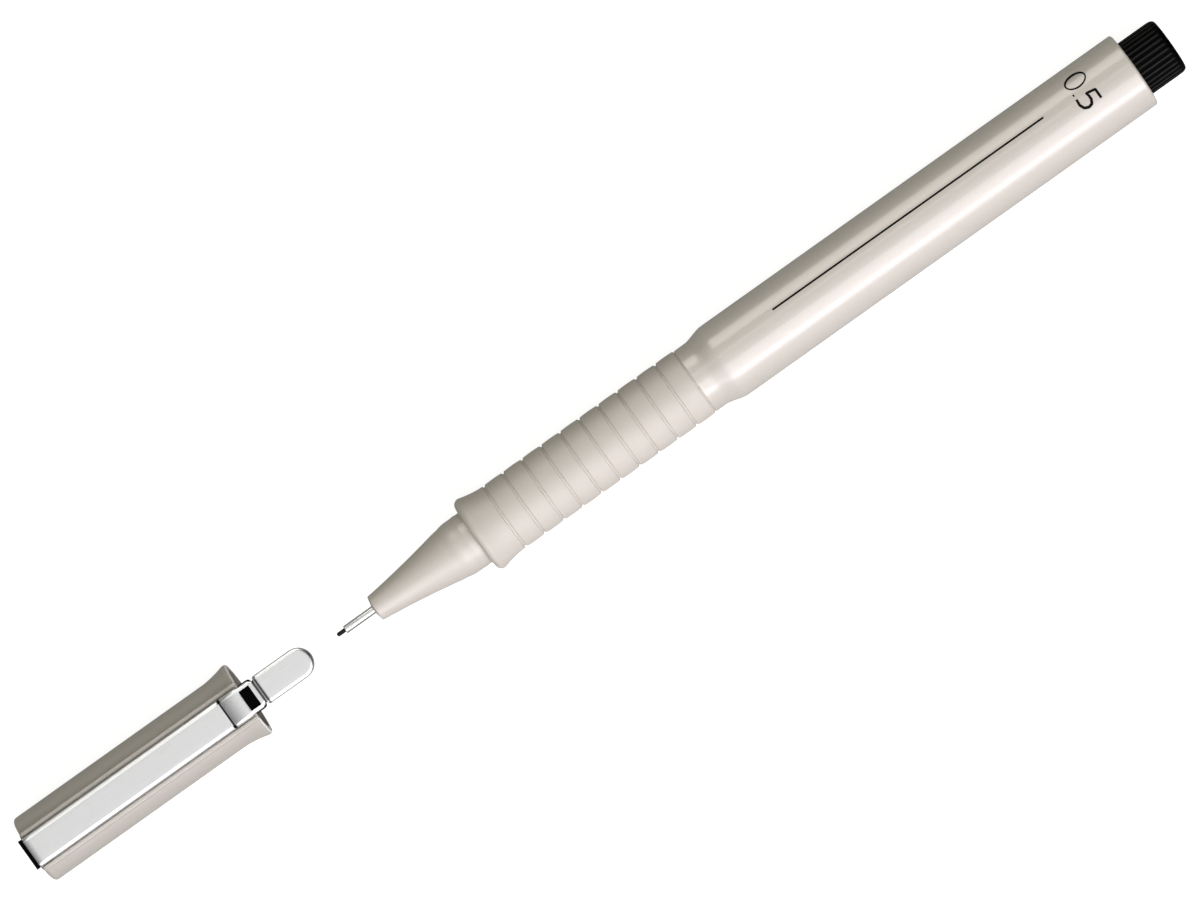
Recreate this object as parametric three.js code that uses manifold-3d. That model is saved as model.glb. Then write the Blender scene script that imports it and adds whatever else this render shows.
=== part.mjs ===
// Drawing pen lying on a table with its cap pulled off, in line in front of the nib: a fibre-tip
// liner with a ribbed grip, and a short cap with a pressed steel clip.
// Millimetres. The pen's axis runs along +X from the cap to the rear plug, and +Z is up, through the
// clip. The origin is the middle of the outer box, on the table.
import * as THREE from 'three';
import { mergeVertices } from 'three/addons/utils/BufferGeometryUtils.js';
import Module from 'manifold-3d';

// Sizes of the pen, from the nib to the rear
const NIB_D = 0.55;
const NIB_SHOW = 1.2; // nib in front of the tube
const TUBE_D = 1.05;
const TUBE_SHOW = 4.35; // tube in front of the nose
const TUBE_HELD = 8; // tube inside the nose
const TUBE_BEVEL = 0.12;
const NOSE_LENGTH = 15.7; // visible nose, up to the grip
const NOSE_FRONT_D = 3.56;
const NOSE_BEVEL = 0.36; // length of the shallow cone on the nose's front face
const NOSE_LAND_D = 6.98; // end of the long cone
const NOSE_LAND_AT = 11.56; // from the nose's front face
const NOSE_LAND_LENGTH = 0.5;
const CONE_BEND_AT = 0.48; // control point of the long cone's curve, as a share of its length
const CONE_BEND_RISE = 0.16; // and as a share of its growth in diameter
const NOSE_REAR_D = 7.52;
const NOSE_REAR_AT = 13.45;
const BEAD_AT = 14.75; // middle of the snap bead
const BEAD_LENGTH = 0.6;
const BEAD_RISE = 0.04;
const SPIGOT_LENGTH = 9; // nose's tail inside the neck of the barrel
const GRIP_D = 9.44; // over the ribs
const GRIP_RIBS = 10;
const RIB_PITCH = 2.917;
const RIB_CROWN = 0.04; // middle of a rib above its edges
const GROOVE_WIDTH = 0.5;
const GROOVE_DEPTH = 0.25;
const GROOVE_FLOOR = 0.17; // width of the groove's flat floor
const COLLAR_LENGTH = 4.52; // flared front of the grip, up to the first groove
const COLLAR_CREST = 0.95; // where the collar is widest
const JOINT_WIDTH = 0.24; // recess round the nose in the collar's front face
const JOINT_DEPTH = 0.4;
const LIP_LENGTH = 0.65; // inward lip that holds the grip against the neck
const BARREL_D = 10.45; // also over the collar and over the cap's flared mouth
const BARREL_LENGTH = 67.3;
const WAIST_D = 9.22;
const WAIST_LENGTH = 1.5;
const SHOULDER_LENGTH = 3.1;
const REAR_EDGE = 0.35; // rounded rear edge of the barrel
const EDGE_RADIUS = 0.2;
const PLUG_D = 7.7;
const PLUG_SHOW = 5.44;
const PLUG_STEM = 7; // inside the barrel
const PLUG_RIBS = 32;
const PLUG_RIB_SHARE = 0.3; // of the pitch that the crest of a rib takes
const PLUG_GROOVE = 0.15;
const PLUG_CORNER = 0.42;

// Walls and inner sizes of the pen
const GRIP_WALL = 0.37; // under the grooves
const NECK_WALL = 0.75;
const FIN_COUNT = 6; // fins inside the barrel that centre the reservoir
const FIN_HEIGHT = 0.45;
const FIN_WIDTH = 0.8;
const FILM_WALL = 0.15;
const WICK_D = 2.2;
const WICK_GRIP = 8; // wick inside the reservoir
const HOLDER_D = 3;
const HOLDER_AT = 2.6; // from the nose's front face
const HOLDER_LENGTH = 10;
const INK_CHAMBER_WALL = 0.95; // of the spigot
const PLUG_WALL = 0.8;
const PLUG_FLOOR = 1;

// Sizes of the cap
const CAP_GAP = 34.86; // from the cap's mouth to the grip, cap off
const CAP_LENGTH = 33.1;
const CAP_WALL = 0.8;
const CAP_END_WALL = 1.5;
const CAP_CORNER = 0.55;
const FLARE_LENGTH = 3.6; // with the rim
const RIM_LENGTH = 0.6;
const FLARE_HOLLOW = 0.3; // control point of the flare's curve, as a share of its rise
const LEAD_LENGTH = 0.6; // widened mouth of the cap's bore
const LEAD_RISE = 0.45;
const RAIL_RISE = 0.2; // seat of the clip above the cap's top
const SHELF = 0.72; // seat beside the clip, on each side
const SEAT_GROOVE = 0.4; // depth of the two grooves in the seat for the clip's flanges
const SEAL_WALL = 0.8;
const SEAL_FLOOR = 1;
const SEAL_PLACE = 0.72; // share of the long cone at which the seal's lip closes on it

// Sizes of the clip and of the bar under it
const CLIP_WIDTH = 4.25;
const CLIP_LENGTH = 43.1;
const SHEET = 0.4;
const BEND_RADIUS = 0.7; // the sheet's edge bends a little, then rolls over to upright
const BEND_TURN = 25; // degrees
const ROLL_RADIUS = 0.45;
const FLANGE_SINK = 0.22; // flanges of the clip below the seat's top
const ROOT_DROP = 0.25;
const ROOT_LENGTH = 0.9;
const BRIDGE_LEAD = 0.55; // step line behind the start of the cap's flare
const BRIDGE_RAMP = 2.5;
const RAMP_POWER = 2.2; // how soon the bridge levels off
const STEP_DROP = 0.18; // step line, where the bridge starts below the strip
const STEP_LENGTH = 0.12;
const FOLD_PAST_MOUTH = 2.4; // double fold between the bridge and the tongue
const FOLD_GAP = 0.37;
const FOLD_DEPTH = 0.16;
const FOLD_WIDTH = 0.34;
const TONGUE_WIDTH = 4.06;
const TONGUE_DEPTH = 0.75;
const TIP_END = 0.97; // last section of the tip, as a share of a quarter turn
const WINDOW_LENGTH = 1.5;
const WINDOW_WIDTH = 2.9;
const WINDOW_PAST_MOUTH = -0.15;
const NOTCH_LENGTH = 0.42;
const NOTCH_WIDTH = 0.5;
const NOTCH_DROP = 0.4;
const PINCH = 0.45; // how far the sheet draws in at the fold
const PINCH_BEFORE = 1.3;
const PINCH_AFTER = 0.37;
const LEG_AT = 0.5;
const LEG_LENGTH = 1.2;
const LEG_DEPTH = 0.7;
const BAR_THICKNESS = 0.55;
const BAR_HEAD = 0.4; // black end in front of the cap's closed end
const BAR_HEAD_DROP = 0.7;
const BAR_FOOT_START = 0.15; // wide end of the bar past the cap's mouth
const BAR_FOOT_LENGTH = 1.75;

// Clearances
const FIT = 0.05; // pieces pushed into each other
const TUBE_GAP = 0.08; // tube in the nose's front hole
const RESERVOIR_GAP = 0.22; // film in the neck
const CAP_RUN = 0.14; // cap's bore over the nose
const SEAL_GAP = 0.12; // seal's lip over the cone
const CLIP_RUN = 0.12; // round the sprung clip, above and behind
const SIDE_RUN = 0.15; // beside the clip's legs and inside its flanges
const GROOVE_INSIDE = 0.1; // seat groove inside and outside a flange
const GROOVE_OUTSIDE = 0.2;

// Facets
const ROUND_SIDES = 40;
const SMALL_SIDES = 16;
const CURVE_STEPS = 5;
const ROLL_STEPS = 3;
const TIP_STEPS = 6;

// Radii that follow
const nibR = NIB_D / 2;
const tubeR = TUBE_D / 2;
const tubeBoreR = nibR + FIT / 2;
const tubeHoleR = tubeR + TUBE_GAP;
const noseR = NOSE_REAR_D / 2;
const ribR = GRIP_D / 2;
const grooveR = ribR - GROOVE_DEPTH;
const gripBoreR = grooveR - GRIP_WALL;
const neckR = gripBoreR - FIT;
const neckBoreR = neckR - NECK_WALL;
const spigotR = neckBoreR - FIT;
const chamberR = spigotR - INK_CHAMBER_WALL;
const filmR = neckBoreR - RESERVOIR_GAP;
const filmBoreR = filmR - FILM_WALL;
const reservoirR = filmBoreR - FIT / 2;
const finR = filmR + FIT;
const barrelBoreR = finR + FIN_HEIGHT;
const barrelR = BARREL_D / 2;
const waistR = WAIST_D / 2;
const plugR = PLUG_D / 2;
const stemR = barrelBoreR - FIT;
const holderR = HOLDER_D / 2;
const wickR = WICK_D / 2;
const capBoreR = noseR + CAP_RUN;
const capR = capBoreR + CAP_WALL;

// Places along the pen, from the nib's tip
const tubeFront = NIB_SHOW;
const noseFront = tubeFront + TUBE_SHOW;
const tubeRear = noseFront + TUBE_HELD;
const holderFront = noseFront + HOLDER_AT;
const holderRear = holderFront + HOLDER_LENGTH;
const gripFront = noseFront + NOSE_LENGTH;
const neckFront = gripFront + LIP_LENGTH;
const spigotRear = neckFront + SPIGOT_LENGTH;
const barrelFront = gripFront + COLLAR_LENGTH + GRIP_RIBS * RIB_PITCH;
const shoulderFront = barrelFront + WAIST_LENGTH;
const shoulderRear = shoulderFront + SHOULDER_LENGTH;
const barrelRear = barrelFront + BARREL_LENGTH;
const stemFront = barrelRear - PLUG_STEM;
const plugEnd = barrelRear + PLUG_SHOW;

// Heights above the axis and places along the cap, from its closed end
const flareStart = CAP_LENGTH - FLARE_LENGTH;
const flareEnd = CAP_LENGTH - RIM_LENGTH;
const bridgeRise = barrelR - capR;
const railTop = capR + RAIL_RISE;
const barTop = railTop + BAR_THICKNESS;
const stripTop = barTop + CLIP_RUN + SHEET;
const stripFoot = railTop - FLANGE_SINK;
const clipHalf = CLIP_WIDTH / 2;
const tongueHalf = TONGUE_WIDTH / 2;
const channelHalf = clipHalf - SHEET;
const barHalf = channelHalf - SIDE_RUN;
const stepAt = flareStart + BRIDGE_LEAD;
const rampEnd = stepAt + BRIDGE_RAMP;
const foldAt = CAP_LENGTH + FOLD_PAST_MOUTH;
const pinchAt = foldAt - FOLD_GAP;
const tongueMiddle = foldAt + FOLD_PAST_MOUTH;
const tipCentre = CLIP_LENGTH - tongueHalf;
const barFootStart = CAP_LENGTH + BAR_FOOT_START;
const barEnd = barFootStart + BAR_FOOT_LENGTH;

// Long cone of the nose, as a curve of (distance from the nose's front face, radius)
const coneCurve = new THREE.QuadraticBezierCurve(
  new THREE.Vector2(NOSE_BEVEL, NOSE_FRONT_D / 2),
  new THREE.Vector2(
    NOSE_LAND_AT * CONE_BEND_AT,
    NOSE_FRONT_D / 2 + (NOSE_LAND_D - NOSE_FRONT_D) * CONE_BEND_RISE,
  ),
  new THREE.Vector2(NOSE_LAND_AT, NOSE_LAND_D / 2),
);
const sealSeat = coneCurve.getPoint(SEAL_PLACE);
const sealBoreR = sealSeat.y + SEAL_GAP;
const sealR = capBoreR - FIT;
const sealMouth = CAP_LENGTH - (NOSE_LENGTH - sealSeat.x);

// Flare of the cap's mouth, as a curve of (place along the cap, height above its straight part)
const flareCurve = new THREE.QuadraticBezierCurve(
  new THREE.Vector2(flareStart, 0),
  new THREE.Vector2((flareStart + CAP_LENGTH) / 2, bridgeRise * FLARE_HOLLOW),
  new THREE.Vector2(flareEnd, bridgeRise),
);

// Rolled edge of the clip's sheet in section, by the distance in from the strip's edge
const bendTurn = THREE.MathUtils.degToRad(BEND_TURN);
const bendWidth = BEND_RADIUS * Math.sin(bendTurn);
const bendDrop = BEND_RADIUS * (1 - Math.cos(bendTurn));
const edgeWidth = bendWidth + ROLL_RADIUS * (1 - Math.sin(bendTurn));
const edgePlaces = [
  ...evenly(Math.PI / 2, bendTurn, ROLL_STEPS).map((angle) => ROLL_RADIUS * (1 - Math.sin(angle))),
  edgeWidth - bendWidth / 2,
  edgeWidth,
];

const wasm = await Module();
wasm.setup();

// Closed geometry to a solid that can be joined and cut
function solidOf(geometry) {
  const bare = geometry.clone();
  bare.deleteAttribute('normal');
  bare.deleteAttribute('uv');
  const welded = mergeVertices(bare);
  const corners = welded.index.array;
  const kept = [];
  for (let i = 0; i < corners.length; i += 3) {
    const [a, b, c] = [corners[i], corners[i + 1], corners[i + 2]];
    if (a !== b && b !== c && c !== a) {
      kept.push(a, b, c);
    }
  }
  return new wasm.Manifold(new wasm.Mesh({
    numProp: 3,
    vertProperties: welded.attributes.position.array,
    triVerts: new Uint32Array(kept),
  }));
}

function geometryOf(solid) {
  const mesh = solid.getMesh();
  const geometry = new THREE.BufferGeometry();
  geometry.setAttribute('position', new THREE.BufferAttribute(mesh.vertProperties, 3));
  geometry.setIndex(new THREE.BufferAttribute(mesh.triVerts, 1));
  geometry.computeVertexNormals();
  return geometry;
}

// Turned piece about +X. The outline is a path of (x, radius) that runs forward along the outside and
// back along the bore. Its facets lie flat on the table.
function turned(outline, sides = ROUND_SIDES) {
  const points = outline.getPoints(CURVE_STEPS).map((p) => new THREE.Vector2(p.y, p.x));
  const geometry = new THREE.LatheGeometry(points, sides, Math.PI / sides);
  geometry.rotateZ(-Math.PI / 2);
  return geometry;
}

// Side shape in (x, z), as wide as asked across the pen
function across(shape, width) {
  const geometry = new THREE.ExtrudeGeometry(shape, {
    depth: width, bevelEnabled: false, curveSegments: CURVE_STEPS,
  });
  geometry.translate(0, 0, -width / 2);
  geometry.rotateX(Math.PI / 2);
  return geometry;
}

function box(x0, x1, y0, y1, z0, z1) {
  const geometry = new THREE.BoxGeometry(x1 - x0, y1 - y0, z1 - z0);
  geometry.translate((x0 + x1) / 2, (y0 + y1) / 2, (z0 + z1) / 2);
  return geometry;
}

// Closed skin through rings of points that run anticlockwise seen against +X
function lofted(rings) {
  const count = rings[0].length;
  const middle = (ring) => {
    const sum = new THREE.Vector3();
    ring.forEach((point) => sum.add(point));
    return sum.divideScalar(count);
  };
  const points = [...rings.flat(), middle(rings[0]), middle(rings.at(-1))];
  const lastRing = (rings.length - 1) * count;
  const faces = [];
  for (let j = 0; j < count; j += 1) {
    const k = (j + 1) % count;
    for (let i = 0; i < lastRing; i += count) {
      faces.push(i + j, i + k, i + count + j, i + k, i + count + k, i + count + j);
    }
    faces.push(points.length - 2, k, j, points.length - 1, lastRing + j, lastRing + k);
  }
  const geometry = new THREE.BufferGeometry().setFromPoints(points);
  geometry.setIndex(faces);
  geometry.computeVertexNormals();
  return geometry;
}

function evenly(start, end, steps) {
  return Array.from({ length: steps + 1 }, (_, i) => start + ((end - start) * i) / steps);
}

// Fibre rod with a rounded tip, from the paper back to the wick
function nib() {
  const outline = new THREE.Path();
  outline.moveTo(0, 0);
  outline.quadraticCurveTo(0, nibR, nibR, nibR);
  outline.lineTo(holderRear, nibR);
  outline.lineTo(holderRear, 0);
  return turned(outline, SMALL_SIDES);
}

function needleTube() {
  const outline = new THREE.Path();
  outline.moveTo(tubeFront, tubeBoreR);
  outline.lineTo(tubeFront, tubeR - TUBE_BEVEL);
  outline.lineTo(tubeFront + TUBE_BEVEL, tubeR);
  outline.lineTo(tubeRear, tubeR);
  outline.lineTo(tubeRear, tubeBoreR);
  outline.closePath();
  return turned(outline, SMALL_SIDES);
}

// Moulded seat: a wide bore for the tube, then a narrow one for the nib alone
function nibHolder() {
  const outline = new THREE.Path();
  outline.moveTo(holderFront, tubeR + FIT);
  outline.lineTo(holderFront, holderR);
  outline.lineTo(holderRear, holderR);
  outline.lineTo(holderRear, tubeBoreR);
  outline.lineTo(tubeRear + FIT, tubeBoreR);
  outline.lineTo(tubeRear + FIT, tubeR + FIT);
  outline.closePath();
  return turned(outline, SMALL_SIDES);
}

// Nose: shallow front cone, long curved cone, land, shoulder, snap bead, then the tail in the neck
function noseCone() {
  const outline = new THREE.Path();
  const beadSlope = BEAD_LENGTH / 4;
  const beadStart = noseFront + BEAD_AT - BEAD_LENGTH / 2;
  outline.moveTo(noseFront, tubeHoleR);
  outline.lineTo(noseFront + NOSE_BEVEL, coneCurve.v0.y);
  outline.quadraticCurveTo(
    noseFront + coneCurve.v1.x, coneCurve.v1.y, noseFront + coneCurve.v2.x, coneCurve.v2.y,
  );
  outline.lineTo(noseFront + NOSE_LAND_AT + NOSE_LAND_LENGTH, NOSE_LAND_D / 2 + BEAD_RISE);
  outline.quadraticCurveTo(
    noseFront + NOSE_REAR_AT - NOSE_LAND_LENGTH, noseR, noseFront + NOSE_REAR_AT, noseR,
  );
  outline.lineTo(beadStart, noseR);
  outline.lineTo(beadStart + beadSlope, noseR + BEAD_RISE);
  outline.lineTo(beadStart + BEAD_LENGTH - beadSlope, noseR + BEAD_RISE);
  outline.lineTo(beadStart + BEAD_LENGTH, noseR);
  outline.lineTo(neckFront, noseR);
  outline.lineTo(neckFront, spigotR);
  outline.lineTo(spigotRear, spigotR);
  outline.lineTo(spigotRear, chamberR);
  outline.lineTo(holderRear, chamberR);
  outline.lineTo(holderRear, holderR + FIT);
  outline.lineTo(holderFront, holderR + FIT);
  outline.lineTo(holderFront, tubeHoleR);
  outline.closePath();
  return turned(outline);
}

// Sleeve: recess round the nose, flared collar, then ribs slightly crowned between the grooves
function gripSleeve() {
  const outline = new THREE.Path();
  const lipR = noseR + FIT;
  const edge = GROOVE_WIDTH / 2;
  const floor = GROOVE_FLOOR / 2;
  const ribEdgeR = ribR - RIB_CROWN;
  const collarRear = gripFront + COLLAR_LENGTH;
  const collarMiddle = gripFront + (COLLAR_CREST + COLLAR_LENGTH) / 2;
  outline.moveTo(gripFront + JOINT_DEPTH, lipR);
  outline.lineTo(gripFront, lipR + JOINT_WIDTH);
  outline.quadraticCurveTo(gripFront + COLLAR_CREST / 3, barrelR, gripFront + COLLAR_CREST, barrelR);
  outline.quadraticCurveTo(collarMiddle, ribR, collarRear - edge, ribEdgeR);
  for (let i = 0; i < GRIP_RIBS; i += 1) {
    const groove = collarRear + i * RIB_PITCH;
    outline.lineTo(groove - floor, grooveR);
    outline.lineTo(groove + floor, grooveR);
    outline.lineTo(groove + edge, ribEdgeR);
    outline.lineTo(groove + RIB_PITCH / 2, ribR);
    outline.lineTo(groove + RIB_PITCH - edge, ribEdgeR);
  }
  outline.lineTo(barrelFront, grooveR);
  outline.lineTo(barrelFront, gripBoreR);
  outline.lineTo(neckFront, gripBoreR);
  outline.lineTo(neckFront, lipR);
  outline.closePath();
  return turned(outline);
}

// Barrel: neck under the grip, waist, shoulder, long tube with inner fins for the reservoir
function barrel() {
  const outline = new THREE.Path();
  const shoulderMiddle = (shoulderFront + shoulderRear) / 2;
  outline.moveTo(neckFront, neckBoreR);
  outline.lineTo(neckFront, neckR);
  outline.lineTo(barrelFront, neckR);
  outline.lineTo(barrelFront, waistR - EDGE_RADIUS / 2);
  outline.lineTo(barrelFront + EDGE_RADIUS / 2, waistR);
  outline.lineTo(shoulderFront, waistR);
  outline.bezierCurveTo(shoulderMiddle, waistR, shoulderMiddle, barrelR, shoulderRear, barrelR);
  outline.lineTo(barrelRear - REAR_EDGE, barrelR);
  outline.quadraticCurveTo(barrelRear, barrelR, barrelRear, barrelR - REAR_EDGE);
  outline.lineTo(barrelRear, barrelBoreR);
  outline.lineTo(shoulderRear, barrelBoreR);
  outline.lineTo(shoulderFront, neckBoreR);
  outline.closePath();
  let solid = solidOf(turned(outline));
  const finRoot = barrelBoreR + FIN_HEIGHT / 2;
  for (let i = 0; i < FIN_COUNT; i += 1) {
    const fin = box(shoulderRear, stemFront, -FIN_WIDTH / 2, FIN_WIDTH / 2, finR, finRoot);
    fin.rotateX((i * 2 * Math.PI) / FIN_COUNT);
    solid = solid.add(solidOf(fin));
  }
  return geometryOf(solid);
}

// Ring of the plug's ribs: each rib has two edges and a groove beside it
function ribbedRing(x, radius, groove) {
  const ring = [];
  const turn = (2 * Math.PI) / PLUG_RIBS;
  const line = [[0, radius], [PLUG_RIB_SHARE, radius], [(1 + PLUG_RIB_SHARE) / 2, radius - groove]];
  for (let i = 0; i < PLUG_RIBS; i += 1) {
    for (const [share, r] of line) {
      const angle = (i + share) * turn;
      ring.push(new THREE.Vector3(x, r * Math.cos(angle), r * Math.sin(angle)));
    }
  }
  return ring;
}

// Rear plug: ribbed head with a flat end, and a hollow stem in the barrel
function rearPlug() {
  const head = lofted([
    ribbedRing(barrelRear, plugR, PLUG_GROOVE),
    ribbedRing(plugEnd - PLUG_CORNER, plugR, PLUG_GROOVE),
    ribbedRing(plugEnd - PLUG_CORNER / 3, plugR - PLUG_CORNER / 3, PLUG_GROOVE / 2),
    ribbedRing(plugEnd, plugR - PLUG_CORNER, 0),
  ]);
  const stem = new THREE.Path();
  const hollowR = stemR - PLUG_WALL;
  stem.moveTo(barrelRear - PLUG_FLOOR, 0);
  stem.lineTo(barrelRear - PLUG_FLOOR, hollowR);
  stem.lineTo(stemFront, hollowR);
  stem.lineTo(stemFront, stemR);
  stem.lineTo(barrelRear + PLUG_FLOOR, stemR);
  stem.lineTo(barrelRear + PLUG_FLOOR, 0);
  return geometryOf(solidOf(head).add(solidOf(turned(stem))));
}

// Fibre rod in the barrel, with a pocket for the wick
function inkReservoir() {
  const outline = new THREE.Path();
  outline.moveTo(spigotRear + WICK_GRIP + FIT, 0);
  outline.lineTo(spigotRear + WICK_GRIP + FIT, wickR + FIT);
  outline.lineTo(spigotRear, wickR + FIT);
  outline.lineTo(spigotRear, reservoirR);
  outline.lineTo(stemFront, reservoirR);
  outline.lineTo(stemFront, 0);
  return turned(outline, SMALL_SIDES * 2);
}

function reservoirFilm() {
  const outline = new THREE.Path();
  outline.moveTo(spigotRear, filmBoreR);
  outline.lineTo(spigotRear, filmR);
  outline.lineTo(stemFront, filmR);
  outline.lineTo(stemFront, filmBoreR);
  outline.closePath();
  return turned(outline, SMALL_SIDES * 2);
}

function feedWick() {
  const outline = new THREE.Path();
  outline.moveTo(holderRear, 0);
  outline.lineTo(holderRear, wickR);
  outline.lineTo(spigotRear + WICK_GRIP, wickR);
  outline.lineTo(spigotRear + WICK_GRIP, 0);
  return turned(outline, SMALL_SIDES);
}

// Line over the flare towards the mouth, at a given height on the cap's straight part
function overFlare(outline, height) {
  const { v0: start, v1: bend, v2: end } = flareCurve;
  outline.lineTo(start.x, height);
  outline.quadraticCurveTo(bend.x, height + bend.y, end.x, height + end.y);
}

// The same line back from the mouth
function backOverFlare(outline, height) {
  const { v0: start, v1: bend, v2: end } = flareCurve;
  outline.lineTo(end.x, height + end.y);
  outline.quadraticCurveTo(bend.x, height + bend.y, start.x, height);
}

// Cap: turned outside, flat-topped seat with two grooves for the clip's flanges, then the bore and the
// slots for the clip's legs
function capShell() {
  const outside = new THREE.Path();
  outside.moveTo(0, 0);
  outside.lineTo(0, capR - CAP_CORNER);
  outside.quadraticCurveTo(0, capR, CAP_CORNER, capR);
  overFlare(outside, capR);
  outside.lineTo(CAP_LENGTH - EDGE_RADIUS / 2, barrelR);
  outside.lineTo(CAP_LENGTH, barrelR - EDGE_RADIUS / 2);
  outside.lineTo(CAP_LENGTH, 0);

  const seat = new THREE.Shape();
  seat.moveTo(0, 0);
  seat.lineTo(0, railTop - CAP_CORNER);
  seat.quadraticCurveTo(0, railTop, CAP_CORNER, railTop);
  overFlare(seat, railTop);
  seat.lineTo(CAP_LENGTH, barrelR + RAIL_RISE);
  seat.lineTo(CAP_LENGTH, 0);

  const bore = new THREE.Path();
  bore.moveTo(CAP_END_WALL, 0);
  bore.lineTo(CAP_END_WALL, capBoreR);
  bore.lineTo(CAP_LENGTH - LEAD_LENGTH, capBoreR);
  bore.lineTo(CAP_LENGTH, capBoreR + LEAD_RISE);
  bore.lineTo(CAP_LENGTH + LEAD_LENGTH, capBoreR + LEAD_RISE);
  bore.lineTo(CAP_LENGTH + LEAD_LENGTH, 0);

  const groove = new THREE.Shape();
  groove.moveTo(-RAIL_RISE, railTop - SEAT_GROOVE);
  overFlare(groove, railTop - SEAT_GROOVE);
  groove.lineTo(CAP_LENGTH + RAIL_RISE, barrelR + RAIL_RISE - SEAT_GROOVE);
  groove.lineTo(CAP_LENGTH + RAIL_RISE, barrelR + 2 * RAIL_RISE);
  groove.lineTo(-RAIL_RISE, barrelR + 2 * RAIL_RISE);
  const grooveInner = channelHalf - GROOVE_INSIDE;
  const grooveOuter = clipHalf + GROOVE_OUTSIDE;

  let shell = solidOf(turned(outside));
  shell = shell.add(solidOf(across(seat, CLIP_WIDTH + 2 * SHELF)));
  shell = shell.subtract(solidOf(turned(bore)));
  for (const side of [-1, 1]) {
    const channel = across(groove, grooveOuter - grooveInner);
    channel.translate(0, side * (grooveInner + grooveOuter) / 2, 0);
    shell = shell.subtract(solidOf(channel));
    shell = shell.subtract(solidOf(clipLeg(side, SIDE_RUN)));
  }
  return geometryOf(shell);
}

// Leg of the clip, or the slot that it stands in when room is given round it
function clipLeg(side, room) {
  const inner = side * (clipHalf - SHEET) - side * room;
  const outer = side * clipHalf + side * room;
  return box(
    LEG_AT - room, LEG_AT + LEG_LENGTH + room,
    Math.min(inner, outer), Math.max(inner, outer),
    railTop - LEG_DEPTH - room, stripFoot + SHEET,
  );
}

// Soft cup at the cap's closed end, whose lip closes on the long cone of the nose
function capInnerSeal() {
  const outline = new THREE.Path();
  outline.moveTo(CAP_END_WALL, 0);
  outline.lineTo(CAP_END_WALL, sealR);
  outline.lineTo(sealMouth, sealR);
  outline.lineTo(sealMouth, sealBoreR + SEAL_GAP);
  outline.lineTo(sealMouth - EDGE_RADIUS, sealBoreR);
  outline.lineTo(CAP_END_WALL + SEAL_FLOOR, sealBoreR);
  outline.lineTo(CAP_END_WALL + SEAL_FLOOR, 0);
  return turned(outline);
}

// Black bar on the cap's seat: a head over the closed end, and a wide foot past the mouth
function colourBar() {
  const footTop = barTop + bridgeRise;
  const footUnder = railTop + bridgeRise;
  const side = new THREE.Shape();
  side.moveTo(0, barTop);
  overFlare(side, barTop);
  side.lineTo(barEnd, footTop);
  side.lineTo(barEnd, footUnder);
  backOverFlare(side, railTop);
  side.lineTo(0, railTop);
  let bar = solidOf(across(side, 2 * barHalf));
  const headUnder = railTop - BAR_HEAD_DROP;
  bar = bar.add(solidOf(box(-BAR_HEAD, 0, -clipHalf, clipHalf, headUnder, stripTop - ROOT_DROP)));
  bar = bar.add(solidOf(box(barFootStart, barEnd, -clipHalf, clipHalf, footUnder, footTop)));
  return geometryOf(bar);
}

// How much of the bridge's rise is still to come, from 1 at the step line to 0 where it levels off
function rampLeft(x) {
  const share = THREE.MathUtils.clamp((x - stepAt) / (rampEnd - stepAt), 0, 1);
  return (1 - share) ** RAMP_POWER;
}

// Height of the clip above the strip's own level: it eases up over the cap's flared mouth
function clipRise(x) {
  return bridgeRise * (1 - rampLeft(x));
}

function creaseDepth(x, middle) {
  return FOLD_DEPTH * Math.max(0, 1 - Math.abs(x - middle) / (FOLD_WIDTH / 2));
}

// Outer top line: rounded off at the root, with a step line before the bridge and a double fold after it
function clipTop(x) {
  const root = ROOT_DROP * Math.max(0, 1 - (x - CLIP_RUN) / ROOT_LENGTH) ** 2;
  const step = STEP_DROP * THREE.MathUtils.clamp((x - stepAt) / STEP_LENGTH, 0, 1) * rampLeft(x);
  return stripTop + clipRise(x) - root - step - creaseDepth(x, pinchAt) - creaseDepth(x, foldAt);
}

// Half width: the sheet draws in at the fold, and the tongue ends in a half circle
function clipHalfWidth(x, inset) {
  if (x > tipCentre) {
    return Math.sqrt(Math.max(0, (tongueHalf - inset) ** 2 - (x - tipCentre) ** 2));
  }
  const [full, reach] = x < pinchAt ? [clipHalf, PINCH_BEFORE] : [tongueHalf, PINCH_AFTER];
  const share = Math.max(0, 1 - Math.abs(x - pinchAt) / reach);
  return full - inset - (full - tongueHalf + PINCH) * share ** 2;
}

// How far the rolled edge lies below the flat, at a distance in from the edge
function edgeDrop(inwards) {
  const reach = edgeWidth - inwards;
  if (reach <= 0) {
    return 0;
  }
  if (reach <= bendWidth) {
    return BEND_RADIUS - Math.sqrt(BEND_RADIUS ** 2 - reach ** 2);
  }
  const rolled = Math.min(ROLL_RADIUS, reach - bendWidth + ROLL_RADIUS * Math.sin(bendTurn));
  return bendDrop + ROLL_RADIUS * Math.cos(bendTurn) - Math.sqrt(ROLL_RADIUS ** 2 - rolled ** 2);
}

// Point of the rolled edge in the section at x, as (distance from the middle, drop below the flat).
// Round the tip the same edge follows the half circle.
function edgePoint(x, inwards) {
  if (x <= tipCentre) {
    return [clipHalfWidth(x, inwards), edgeDrop(inwards)];
  }
  const y = clipHalfWidth(x, 0) * (1 - inwards / tongueHalf);
  return [y, edgeDrop(tongueHalf - Math.hypot(x - tipCentre, y))];
}

function tipStations(radius) {
  const turns = evenly(0, (TIP_END * Math.PI) / 2, TIP_STEPS).slice(1);
  return turns.map((angle) => tipCentre + radius * Math.sin(angle));
}

// Stations in order along the clip, each at least a little past the last
function inOrder(stations) {
  const sorted = [...stations].sort((a, b) => a - b);
  return sorted.filter((x, i) => i === 0 || x - sorted[i - 1] > FIT / 2);
}

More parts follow.
